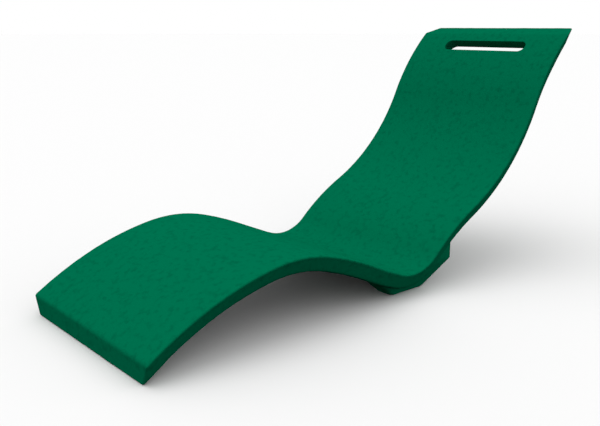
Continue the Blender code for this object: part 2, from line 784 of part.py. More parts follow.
def main():
    """Builds every piece of the lounger."""
    clear_scene()
    shell_green = make_material(*MOULDED_GREEN)
    plug_green = make_material(*PLUG_GREEN)
    rubber = make_material(*BLACK_RUBBER)
    brass = make_material(*INSERT_BRASS)
    steel = make_material(*SCREW_STEEL)

    ports = {"fill": fill_port_frame(), "drain": drain_port_frame()}
    pads = {"right_pad": 1, "left_pad": -1}
    build_shell(shell_green, ports, pads)
    for name, frame in ports.items():
        build_port_pieces(name, frame, brass, rubber, plug_green)
    for name, side in pads.items():
        build_pad(name, side, rubber)
        for number, (x, y) in enumerate(screw_places(side), 1):
            build_pad_screw(f"{name}_screw_{number}", x, y, steel)
            build_pad_bush(f"{name}_bush_{number}", x, y, brass)
    centre_on_origin()


main()
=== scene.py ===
"""Looks of the in-pool lounger: its grained skin, screw plugs, threaded inserts, pads and a studio.

Metres, +Z up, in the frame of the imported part: +X across the lounger, +Y from the foot end to the
head, Z = 0 the floor. The lounger is one hollow rotational moulding in polyethylene, so its skin is
worked out here as a fine surface, with the leathery grain of the mould in its points.
"""

import json
import logging
import math
from collections.abc import Sequence
from dataclasses import dataclass
from enum import Enum
from itertools import product

import bmesh
import bpy
import numpy as np
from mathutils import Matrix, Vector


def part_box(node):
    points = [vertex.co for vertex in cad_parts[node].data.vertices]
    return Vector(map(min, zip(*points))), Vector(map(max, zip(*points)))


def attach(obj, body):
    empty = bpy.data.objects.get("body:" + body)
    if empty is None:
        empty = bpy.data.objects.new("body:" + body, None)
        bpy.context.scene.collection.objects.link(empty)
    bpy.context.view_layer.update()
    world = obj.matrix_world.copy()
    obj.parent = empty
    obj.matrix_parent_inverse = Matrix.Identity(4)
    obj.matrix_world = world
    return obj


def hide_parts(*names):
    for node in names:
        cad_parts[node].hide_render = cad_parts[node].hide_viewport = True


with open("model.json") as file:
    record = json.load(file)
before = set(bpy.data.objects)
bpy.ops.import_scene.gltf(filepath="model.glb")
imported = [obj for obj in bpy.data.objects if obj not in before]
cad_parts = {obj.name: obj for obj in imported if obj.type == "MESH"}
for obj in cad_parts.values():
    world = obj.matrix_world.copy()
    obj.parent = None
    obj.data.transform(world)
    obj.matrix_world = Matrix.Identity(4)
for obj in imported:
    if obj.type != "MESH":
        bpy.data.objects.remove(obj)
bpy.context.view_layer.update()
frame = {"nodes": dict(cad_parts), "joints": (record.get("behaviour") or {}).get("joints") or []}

LOG = logging.getLogger("lounger")
MM = 0.001
GAP = 0.3 * MM  # between touching pieces
REACH = 10 * MM  # cutters stick out of a face by this
BASE_SPAN = (0.5, 1.7)  # distances along the wave between which the base lies
HALVINGS = 30  # of an interval, to find where two surfaces meet
# The cavity's faces lean, so where they are measured level they lie this many walls inside.
LEAN_SIDE = 1.1  # the side walls
LEAN_BASE = 1.6  # the base's front and rear faces
NOISE_MIDDLE = (0.35, 0.65)  # nearly all values of a noise node lie between these
# Large odd numbers that give neighbouring cubes of the grain's lattice unlike directions.
HASH_STEPS = (73856093, 19349663, 83492791)
HASH_SALT = 2654435761
HASH_MIX = 1103515245
HASH_SHIFT = 7


class Cut(Enum):
    """How a second body changes the first."""

    JOIN = "UNION"
    REMOVE = "DIFFERENCE"


class Port(Enum):
    """The two screw ports, by the first word of their pieces' names."""

    FILL = "fill"
    DRAIN = "drain"


class Side(Enum):
    """The two runners, by the sign of their place across the lounger."""

    RIGHT = 1
    LEFT = -1


# --- surfaces as arrays -------------------------------------------------------------------------

def unit(vectors: np.ndarray) -> np.ndarray:
    """Returns the vectors scaled to length one; their last axis holds the components."""
    return vectors / np.linalg.norm(vectors, axis=-1, keepdims=True)


def round_corner(
    corner: np.ndarray, back: np.ndarray, ahead: np.ndarray, reach: np.ndarray | float, steps: int
) -> np.ndarray:
    """Circular arcs that round corners, each tangent to both of its lines.

    The centre lies on the bisector, at reach over the cosine of the half angle from the corner. A
    point turned by a share of the arc is the sine-weighted mix of the arc's first and last radius.

    Args:
        corner: Corner points, with the two components on the last axis.
        back: Unit vectors from the corners to where the lines come from.
        ahead: Unit vectors from the corners to where the lines go.
        reach: Distance from the corner to where the arc starts and ends, one for all or for each.
        steps: Number of chords in each arc.

    Returns:
        Points with a new axis of steps + 1 before the last one.
    """
    reach = np.asarray(reach)[..., None]
    half = np.arccos(np.clip((back * ahead).sum(-1, keepdims=True), -1, 1)) / 2
    centre = corner + unit(back + ahead) * reach / np.cos(half)
    first = (corner + back * reach - centre)[..., None, :]
    last = (corner + ahead * reach - centre)[..., None, :]
    sweep = (math.pi - 2 * half)[..., None, :]
    share = np.linspace(0, 1, steps + 1)[:, None]
    mixed = np.sin((1 - share) * sweep) * first + np.sin(share * sweep) * last
    return centre[..., None, :] + mixed / np.sin(sweep)


def straight(start: np.ndarray, end: np.ndarray, shares: np.ndarray) -> np.ndarray:
    """Points between start and end at the given shares of the way, on a new axis before the last."""
    shares = np.asarray(shares)[:, None]
    return start[..., None, :] * (1 - shares) + end[..., None, :] * shares


def inner_shares(steps: int) -> np.ndarray:
    """Shares that cut a line into equal steps, without its two ends."""
    return np.arange(1, steps) / steps


def full_turn(steps: int) -> np.ndarray:
    """Angles of a full turn in equal steps, from zero."""
    return 2 * math.pi * np.arange(steps) / steps


def superellipse(steps: int, power: int) -> np.ndarray:
    """Points (steps, 2) of a square with soft corners, one unit from its middle to each side.

    In each direction the radius is the sum of that power of the cosine and of the sine, raised to
    minus one over the power.
    """
    turn = full_turn(steps)
    way = np.stack([np.cos(turn), np.sin(turn)], axis=-1)
    return way * (np.abs(way) ** power).sum(axis=-1, keepdims=True) ** (-1 / power)


def turned_rows(angles: int, *parts: tuple[np.ndarray, np.ndarray]) -> list[np.ndarray]:
    """Joins the parts of a turned surface and spreads them over its angles.

    Args:
        angles: Number of angles in each row.
        parts: Radius and height of each part, as (rows, 1) or (rows, angles).

    Returns:
        The radii and the heights, each (total rows, angles).
    """
    nothing = np.zeros((1, angles))
    return [np.concatenate([part + nothing for part in column]) for column in zip(*parts)]


def rounded_outline(corners: np.ndarray, radii: Sequence[float], runs: Sequence[int]) -> np.ndarray:
    """Closed outline with an arc at each corner and each straight side cut into equal runs.

    Args:
        corners: Corner points (count, 2) in order; the sides meet square.
        radii: Radius of the arc at each corner.
        runs: Number of runs on the side that follows each corner.

    Returns:
        Points (total, 2).
    """
    back = unit(np.roll(corners, 1, axis=0) - corners)
    ahead = unit(np.roll(corners, -1, axis=0) - corners)
    arcs = round_corner(corners, back, ahead, np.asarray(radii), 6)
    parts = []
    for arc, following, steps in zip(arcs, np.roll(arcs, -1, axis=0), runs):
        parts += [arc, straight(arc[-1], following[0], inner_shares(steps))]
    return np.concatenate(parts)


def outline_normals(outline: np.ndarray) -> np.ndarray:
    """Unit vectors square to a closed plan outline that runs counter-clockwise, pointing out."""
    along = unit(np.roll(outline, -1, axis=0) - np.roll(outline, 1, axis=0))
    return np.stack([along[:, 1], -along[:, 0]], axis=-1)


def ring_faces(rings: int, points: int, wrap: bool = False) -> np.ndarray:
    """Quads that join closed rings of equal length, each to the next.

    Args:
        rings: Number of rings.
        points: Number of points in each ring.
        wrap: Whether the last ring joins the first, as on a torus.

    Returns:
        Corner indices (count, 4) into the rings' points in order.
    """
    index = np.arange(rings * points).reshape(rings, points)
    lower = index if wrap else index[:-1]
    upper = np.roll(index, -1, axis=0) if wrap else index[1:]
    corners = (lower, np.roll(lower, -1, axis=1), np.roll(upper, -1, axis=1), upper)
    return np.stack(corners, axis=-1).reshape(-1, 4)


@dataclass
class Surface:
    """Points and faces of a mesh, as arrays; each face array holds faces of one corner count."""

    points: np.ndarray
    faces: list[np.ndarray]

    @classmethod
    def from_rings(cls, rings: np.ndarray, wrap: bool = False, flat_ends: bool = False) -> "Surface":
        """Joins rings (count, points, 3); flat_ends closes the first and last with one face each."""
        count, points = rings.shape[:2]
        faces = [ring_faces(count, points, wrap)]
        if flat_ends:
            first = np.arange(points)[None, ::-1]
            faces += [first, np.arange(points)[None] + (count - 1) * points]
        return cls(rings.reshape(-1, 3), faces)

    def outward(self) -> np.ndarray:
        """Point normals: the mean of the touching quads' cross products of their diagonals."""
        quads = self.faces[0]
        corner = self.points[quads]
        across = np.cross(corner[:, 2] - corner[:, 0], corner[:, 3] - corner[:, 1])
        total = np.zeros_like(self.points)
        for column in range(quads.shape[1]):
            for axis in range(3):
                weights = across[:, axis]
                total[:, axis] += np.bincount(quads[:, column], weights, len(self.points))
        length = np.linalg.norm(total, axis=1, keepdims=True)
        return total / np.maximum(length, 1e-12)

    def to_object(self, name: str) -> bpy.types.Object:
        """Makes a mesh object of the surface, with doubles merged and faces pointing outwards."""
        mesh = bpy.data.meshes.new(name)
        corners = np.concatenate([faces.ravel() for faces in self.faces]).astype(np.int32)
        sizes = np.concatenate([np.full(len(f), f.shape[1]) for f in self.faces])
        starts = np.concatenate(([0], np.cumsum(sizes)[:-1])).astype(np.int32)
        mesh.vertices.add(len(self.points))
        mesh.vertices.foreach_set("co", self.points.astype(np.float32).ravel())
        mesh.loops.add(len(corners))
        mesh.loops.foreach_set("vertex_index", corners)
        mesh.polygons.add(len(sizes))
        mesh.polygons.foreach_set("loop_start", starts)
        mesh.update(calc_edges=True)
        sheet = bmesh.new()
        sheet.from_mesh(mesh)
        bmesh.ops.remove_doubles(sheet, verts=sheet.verts, dist=1e-6)
        bmesh.ops.recalc_face_normals(sheet, faces=sheet.faces)
        sheet.to_mesh(mesh)
        sheet.free()
        item = bpy.data.objects.new(name, mesh)
        bpy.context.scene.collection.objects.link(item)
        return item


def combine(item: bpy.types.Object, steps: Sequence[tuple[Cut, bpy.types.Object]]) -> bpy.types.Object:
    """Joins other closed bodies to an object or removes them from it, and deletes those bodies.

    Args:
        item: The object that keeps its name.
        steps: What is done with each other body, in order.

    Returns:
        The object, with the result as its own mesh.
    """
    for cut, other in steps:
        modifier = item.modifiers.new(other.name, "BOOLEAN")
        modifier.operation = cut.value
        modifier.solver = "MANIFOLD"
        modifier.object = other
    graph = bpy.context.evaluated_depsgraph_get()
    mesh = bpy.data.meshes.new_from_object(item.evaluated_get(graph))
    item.modifiers.clear()
    item.data = mesh
    for _, other in steps:
        bpy.data.objects.remove(other)
    return item


def dress(item: bpy.types.Object, finish: "Finish", body: str, crease: float = 40) -> bpy.types.Object:
    """Gives a new piece its finish and smooth shading, and hangs it on a body.

    Args:
        item: The piece, in place.
        finish: Its material.
        body: Name of the body that it rides on.
        crease: Angle in degrees past which an edge stays sharp.

    Returns:
        The piece.
    """
    item.data.materials.clear()
    item.data.materials.append(finish.material())
    item.data.shade_smooth()
    item.data.set_sharp_from_angle(angle=math.radians(crease))
    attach(item, body)
    LOG.info("%s: %d faces, %s, on %s", item.name, len(item.data.polygons), finish.name, body)
    return item


@dataclass(frozen=True)
class Placement:
    """A place in the lounger's frame: local Z points outward and local X stays the world's X."""

    origin: tuple[float, float, float]
    outward: tuple[float, float, float]

    def apply(self, local: np.ndarray) -> np.ndarray:
        """Moves local points (..., 3) to the lounger's frame."""
        z_axis = unit(np.array(self.outward))
        x_axis = np.array((1.0, 0.0, 0.0))
        axes = np.stack([x_axis, np.cross(z_axis, x_axis), z_axis])
        return np.array(self.origin) + local @ axes

    def loft(self, outlines: np.ndarray, heights: Sequence[float]) -> Surface:
        """Closed body through plan outlines (count, points, 2) at local heights."""
        level = np.broadcast_to(np.asarray(heights)[:, None, None], (*outlines.shape[:2], 1))
        rings = self.apply(np.concatenate([outlines, level], axis=-1))
        return Surface.from_rings(rings, flat_ends=True)

    def turned(self, radius: np.ndarray, height: np.ndarray, closed: bool = False) -> Surface:
        """Surface about local Z: a ring of equal steps of angle for each row of radius and height.

        Args:
            radius: Radii (rows, angles), or (rows, 1) where they are the same all round.
            height: Heights, in the same form.
            closed: Whether the last row joins the first, as on a ring.

        Returns:
            The surface.
        """
        angles = max(radius.shape[1], height.shape[1])
        angle = full_turn(angles)
        radius, height = np.broadcast_arrays(radius + 0 * angle, height + 0 * angle)
        local = np.stack([radius * np.cos(angle), radius * np.sin(angle), height], axis=-1)
        return Surface.from_rings(self.apply(local), wrap=closed)

    def spun(self, line: np.ndarray, angles: int) -> Surface:
        """Closed body turned from an outline (rows, 2) of radius and height."""
        return self.turned(*turned_rows(angles, (line[:, :1], line[:, 1:])))

    def cylinder(self, radius: float, start: float, end: float, angles: int) -> Surface:
        """Plain closed cylinder between two heights."""
        return self.spun(np.array([(0, start), (radius, start), (radius, end), (0, end)]), angles)


def profile(*points: tuple[float, float, float], steps: int = 4) -> np.ndarray:
    """Outline of a turned piece, from (radius, height, rounding) corners in order.

    Each corner is replaced by an arc whose tangent length is its rounding, and stays as it is where
    that is nothing.

    Returns:
        Points (total, 2) of radius and height.
    """
    corner = np.array([point[:2] for point in points])
    parts = [corner[:1]]
    for before, here, after, (_, _, rounding) in zip(corner, corner[1:], corner[2:], points[1:]):
        if rounding:
            parts.append(round_corner(here, unit(before - here), unit(after - here), rounding, steps))
        else:
            parts.append(here[None])
    return np.concatenate([*parts, corner[-1:]])


# --- finishes -----------------------------------------------------------------------------------

def linear_colour(code: str) -> tuple[float, float, float, float]:
    """Turns an sRGB hex colour into linear light, with full opacity."""
    share = [int(code[i:i + 2], 16) / 255 for i in (1, 3, 5)]
    light = [s / 12.92 if s <= 0.04045 else ((s + 0.055) / 1.055) ** 2.4 for s in share]
    return (*light, 1.0)


def add_node(
    tree: bpy.types.NodeTree, kind: str, settings: dict[str, object], links: dict[str, object]
) -> bpy.types.Node:
    """Adds a node, and sets and links its inputs.

    Args:
        tree: The node tree.
        kind: The node's type name, without the word ShaderNode.
        settings: Values by input name, or by attribute name where no input has that name.
        links: Output sockets by the name of the input that they feed.

    Returns:
        The node.
    """
    node = tree.nodes.new(f"ShaderNode{kind}")
    for key, value in settings.items():
        if key in node.inputs:
            node.inputs[key].default_value = value
        else:
            setattr(node, key, value)
    for key, socket in links.items():
        tree.links.new(socket, node.inputs[int(key) if key.isdigit() else key])
    return node


def size_to_scale(width: float) -> float:
    """Noise scale for features of a given width in metres, since noise repeats once per unit."""
    return 1 / width


@dataclass(frozen=True)
class Finish:
    """A surface finish: two shades mixed by a broad pattern, and a bump from a fine one.

    The broad pattern is uneven pigment or soiling, and the fine one is the texture of the surface. On the
    moulded polyethylene the broad pattern is painted shade: dark specks in place of the creases' shading.
    """

    name: str
    slot: str
    shade: str
    light_shade: str
    roughness: float
    roughness_spread: float
    broad_width: float
    fine_width: float
    fine_depth: float
    metallic: float = 0.0
    specular: float = 0.5
    shade_span: tuple[float, float] = (0.36, 0.64)  # of the broad pattern, from shade to light_shade
    broad_noise: tuple[float, float] = (3.0, 0.55)  # detail and roughness of the pattern's noise
    fine_noise: tuple[float, float] = (2.0, 0.6)
    mark_stretch: float = 1.0  # the fine pattern is squeezed along Y by this

    def patterns(self, tree: bpy.types.NodeTree) -> tuple[bpy.types.NodeSocket, bpy.types.NodeSocket]:
        """Adds the broad and the fine pattern and returns their outputs."""
        place = add_node(tree, "TexCoord", {}, {}).outputs["Object"]
        squeeze = add_node(tree, "Mapping", {"Scale": (1.0, self.mark_stretch, 1.0)}, {"Vector": place})
        outputs = []
        for width, (detail, roughness), vector in (
            (self.broad_width, self.broad_noise, place),
            (self.fine_width, self.fine_noise, squeeze.outputs["Vector"]),
        ):
            settings = {"Scale": size_to_scale(width), "Detail": detail, "Roughness": roughness}
            outputs.append(add_node(tree, "TexNoise", settings, {"Vector": vector}).outputs["Fac"])
        return outputs[0], outputs[1]

    def material(self) -> bpy.types.Material:
        """Builds the material once and returns the same one after that."""
        found = bpy.data.materials.get(self.name)
        if found is not None:
            return found
        material = bpy.data.materials.new(self.name)
        material.use_nodes = True
        material.diffuse_color = linear_colour(self.shade)
        tree = material.node_tree
        shader = tree.nodes["Principled BSDF"]
        shader.inputs["Metallic"].default_value = self.metallic
        shader.inputs["Specular IOR Level"].default_value = self.specular
        broad, fine = self.patterns(tree)
        # The ramp paints the broad pattern into the base colour; on the polyethylene it paints crease
        # shade.
        ramp = add_node(tree, "ValToRGB", {}, {"Fac": broad})
        shades = zip(ramp.color_ramp.elements, self.shade_span, (self.shade, self.light_shade))
        for element, position, code in shades:
            element.position = position
            element.color = linear_colour(code)
        tree.links.new(ramp.outputs["Color"], shader.inputs["Base Color"])
        low, high = self.roughness - self.roughness_spread, self.roughness + self.roughness_spread
        spread = {"From Min": NOISE_MIDDLE[0], "From Max": NOISE_MIDDLE[1], "To Min": low, "To Max": high}
        rough = add_node(tree, "MapRange", spread, {"Value": fine})
        tree.links.new(rough.outputs["Result"], shader.inputs["Roughness"])
        relief = {"Strength": 1.0, "Distance": self.fine_depth}
        bump = add_node(tree, "Bump", relief, {"Height": fine})
        tree.links.new(bump.outputs["Normal"], shader.inputs["Normal"])
        return material


@dataclass(frozen=True)
class TurnedFinish(Finish):
    """A finish whose fine pattern is drawn out across the lounger and along Z, as lathe marks are."""

    broad_noise: tuple[float, float] = (2.0, 0.5)
    fine_noise: tuple[float, float] = (2.0, 0.5)
    mark_stretch: float = 8.0


# Linear polyethylene, rotationally moulded and pigmented through: a deep even green with a dull,
# waxy face that hardly mirrors. The finest grain that the mould leaves is about 9 mm wide. Its broad
# colour pattern is painted shade: sparse darker specks stand in for the shading in the grain's creases.
MOULDED_POLYETHYLENE = Finish(
    name="moulded_polyethylene_green", slot="shell_plastic", shade="#006143", light_shade="#006b4a",
    roughness=0.62, roughness_spread=0.05, broad_width=19 * MM, fine_width=9 * MM,
    fine_depth=0.9 * MM, specular=0.0, shade_span=(0.30, 0.50),
)
# Polypropylene, injection moulded: the same hue a little darker, tighter and smoother.
MOULDED_POLYPROPYLENE = Finish(
    name="moulded_polypropylene_green", slot="plug_plastic", shade="#004c35", light_shade="#005238",
    roughness=0.46, roughness_spread=0.04, broad_width=9 * MM, fine_width=0.8 * MM,
    fine_depth=0.03 * MM, specular=0.22,
)
# Nitrile rubber, pressed: near black, dull, with a grey bloom in patches.
PRESSED_RUBBER = Finish(
    name="pressed_nitrile_rubber", slot="rubber", shade="#161617", light_shade="#242425",
    roughness=0.82, roughness_spread=0.06, broad_width=7 * MM, fine_width=0.7 * MM,
    fine_depth=0.05 * MM, specular=0.35,
)
# Brass, turned and left bare: warm yellow with brown tarnish and fine lathe marks.
TURNED_BRASS = TurnedFinish(
    name="turned_brass", slot="brass", shade="#9c7a3e", light_shade="#c9a45c", roughness=0.34,
    roughness_spread=0.08, broad_width=6 * MM, fine_width=0.9 * MM, fine_depth=0.02 * MM,
    metallic=1.0,
)
# A4 stainless steel, cold headed and passivated: light grey, half bright, with faint marks.
HEADED_STEEL = TurnedFinish(
    name="headed_stainless_steel", slot="stainless_steel", shade="#a9abac", light_shade="#c6c7c8",
    roughness=0.30, roughness_spread=0.06, broad_width=3 * MM, fine_width=0.5 * MM,
    fine_depth=0.01 * MM, metallic=1.0,
)


# --- the mould's grain --------------------------------------------------------------------------

@dataclass(frozen=True)
class MouldGrain:
    """Leathery relief of the mould: soft creases with finer ones across them, and broad unevenness."""

    crease_width: float = 30 * MM
    fine_width: float = 17 * MM
    sag_width: float = 110 * MM
    depth: float = 1.0 * MM
    middle_share: float = 0.5
    reach: float = 0.9  # the ends of the length, from its middle
    wander_share: float = 0.35  # the creases wander by this share of their width
    stretch: float = 0.55  # below one, so that the creases run longer across the lounger
    fold: float = 1.7  # brings a folded noise to about one
    noise_top: float = 0.7
    shares: tuple[float, float, float] = (0.5, 0.35, 0.18)  # of the creases, finer ones and sag
    directions: int = 512
    seed: int = 11

    def lattice_noise(self, points: np.ndarray, width: float, salt: int) -> np.ndarray:
        """Gradient noise at points (n, 3), from about -0.7 to 0.7.

        Space is cut into cubes. Each cube corner has a direction picked by a hash of its place, and
        pulls on a point by the dot product of that direction with the way to the point. The eight
        pulls are mixed by a curve of the fifth degree in each axis.
        """
        table = unit(np.random.default_rng(self.seed).normal(size=(self.directions, 3)))
        scaled = points / width + 100.5
        cell = np.floor(scaled).astype(np.int64)
        inside = scaled - cell
        fade = inside**3 * (inside * (inside * 6 - 15) + 10)
        total = np.zeros(len(points))
        for offset in product((0, 1), repeat=3):
            x, y, z = ((cell + offset) * np.array(HASH_STEPS)).T
            mixed = (x ^ y ^ z ^ salt * HASH_SALT) * HASH_MIX >> HASH_SHIFT
            pull = (table[mixed % self.directions] * (inside - offset)).sum(axis=1)
            total += pull * np.where(offset, fade, 1 - fade).prod(axis=1)
        return total

    def depth_at(self, points: np.ndarray) -> np.ndarray:
        """Depth of the relief below the smooth form at points (n, 3), never negative.

        Two folded noises give creases, since the fold of a noise, one less its size, is sharp where
        the noise crosses zero. The points are first shifted by a broad noise so that the creases
        wander. The creases are shallower in the middle of the length, where a person's weight and
        the mould's polish are, and the last term is the broad unevenness.
        """
        wander = [self.lattice_noise(points, 2 * self.crease_width, salt) for salt in (1, 2, 3)]
        moved = points + self.wander_share * self.crease_width * np.stack(wander, axis=1)
        stretched = moved * np.array((self.stretch, 1.0, 1.0))
        crease = np.abs(self.lattice_noise(stretched, self.crease_width, 4)) * self.fold
        fine = np.abs(self.lattice_noise(moved, self.fine_width, 5)) * self.fold
        sag = self.lattice_noise(points, self.sag_width, 6) + self.noise_top
        ends = self.middle_share + (1 - self.middle_share) * np.abs(points[:, 1] / self.reach) ** 1.5
        relief = self.shares[0] * (1 - crease) + self.shares[1] * (1 - fine)
        return self.depth * np.clip(ends * relief + self.shares[2] * sag, 0, 1)

    def press(self, surface: Surface) -> Surface:
        """Moves the surface's points inwards by the relief."""
        depth = self.depth_at(surface.points)[:, None]
        surface.points = surface.points - surface.outward() * depth
        return surface


# --- the wave ------------------------------------------------------------------------------------

@dataclass(frozen=True)
class Wave:
    """Side profile of the moulding: a chain of arcs, each tangent to the last, and a wall below it.

    The seat's arcs are (length, turn in degrees) from the foot end. Lengths along Y start at the
    foot end; place() moves them to the lounger's frame.
    """

    arcs: tuple[tuple[float, float], ...] = (
        (0.221, -11.7),  # calf rest, rising
        (0.215, -12.7),
        (0.220, -26.5),  # knee
        (0.202, -8.9),  # thigh rest, falling
        (0.123, 6.4),
        (0.173, 62.1),  # seat
        (0.151, -10.9),  # lumbar swell
        (0.083, -5.35),
        (0.470, 37.2),  # backrest
        (0.3055, -23.1),  # head rest
    )
    heading: float = 34.1
    foot_top: float = 0.0613
    foot_low: float = -0.003
    foot_run: float = 0.221 / 3  # the underside runs straight this far from the foot end
    head_tip: tuple[float, float] = (1.8525, 0.8466)
    length: float = 1.8511
    thick: float = 0.0525
    end_thick: float = 0.0446
    taper_start: float = 2.03
    taper_power: float = 1.5
    samples: int = 600  # of the underside's line over the base

    def seat_length(self) -> float:
        """Length of the seat surface along its arcs."""
        return sum(length for length, _ in self.arcs)

    def seat(self, distance: np.ndarray) -> np.ndarray:
        """Seat points at distances from the foot end: (n, 3) of y, z and heading in radians.

        Each arc adds a chord. The share of the arc that is passed turns the heading in proportion,
        and the chord is as long as that share of the arc, times the sine of half its turn over half
        its turn, in the direction halfway through the turn.
        """
        length, turn = np.array(self.arcs).T[:, :, None]
        start = np.cumsum(length, axis=0) - length
        passed = np.clip(np.asarray(distance, float)[None] - start, 0, length)
        turned = np.radians(turn) * passed / length
        before = math.radians(self.heading) + np.cumsum(turned, axis=0) - turned
        chord = passed * np.sinc(turned / 2 / math.pi)
        y = (chord * np.cos(before + turned / 2)).sum(axis=0)
        z = self.foot_top + (chord * np.sin(before + turned / 2)).sum(axis=0)
        return np.stack([y, z, math.radians(self.heading) + turned.sum(axis=0)], axis=-1)

    def thickness(self, distance: np.ndarray) -> np.ndarray:
        """Wall to wall thickness: constant, and falling by a power over the head end."""
        run = self.seat_length() - self.taper_start
        share = np.clip((np.asarray(distance, float) - self.taper_start) / run, 0, 1)
        return self.thick - (self.thick - self.end_thick) * share**self.taper_power

    def below(self, distance: np.ndarray, depth: np.ndarray | float) -> np.ndarray:
        """Points (n, 2) at a depth under the seat, square to it."""
        y, z, heading = self.seat(distance).T
        return np.stack([y + depth * np.sin(heading), z - depth * np.cos(heading)], axis=-1)

    def back_run(self) -> float:
        """Length of the straight back surface beyond the end of the seat's arcs."""
        end = np.array([self.seat_length()])
        return float(np.linalg.norm(self.below(end, self.end_thick) - np.array(self.head_tip)))

    def under(self, run: np.ndarray) -> np.ndarray:
        """Points (n, 2) of the underside. It starts and ends straight, and follows the seat between.

        Args:
            run: Distances like the seat's, going on past its end to the tip by back_run.
        """
        end = self.seat_length()
        inside = np.clip(run, self.foot_run, end)
        curve = self.below(inside, self.thickness(inside))
        foot = np.array((0.0, self.foot_low))
        foot_share = np.clip(run / self.foot_run, 0, 1)[:, None]
        curve = foot + (curve - foot) * foot_share
        tip_share = np.clip((run - end) / self.back_run(), 0, 1)[:, None]
        return curve + (np.array(self.head_tip) - curve) * tip_share

    def place(self, x: np.ndarray, yz: np.ndarray) -> np.ndarray:
        """Points (..., 3) in the lounger's frame from x and (y, z), with y from the foot end."""
        x, y, z = np.broadcast_arrays(x, yz[..., 0] - self.length / 2, yz[..., 1])
        return np.stack([x, y, z], axis=-1)

    def under_height(self, y: np.ndarray) -> np.ndarray:
        """Height of the underside over the middle of the lounger, at y from the foot end."""
        line = self.under(np.linspace(*BASE_SPAN, self.samples))
        return np.interp(y, line[:, 0], line[:, 1])


# --- the moulded shell ---------------------------------------------------------------------------

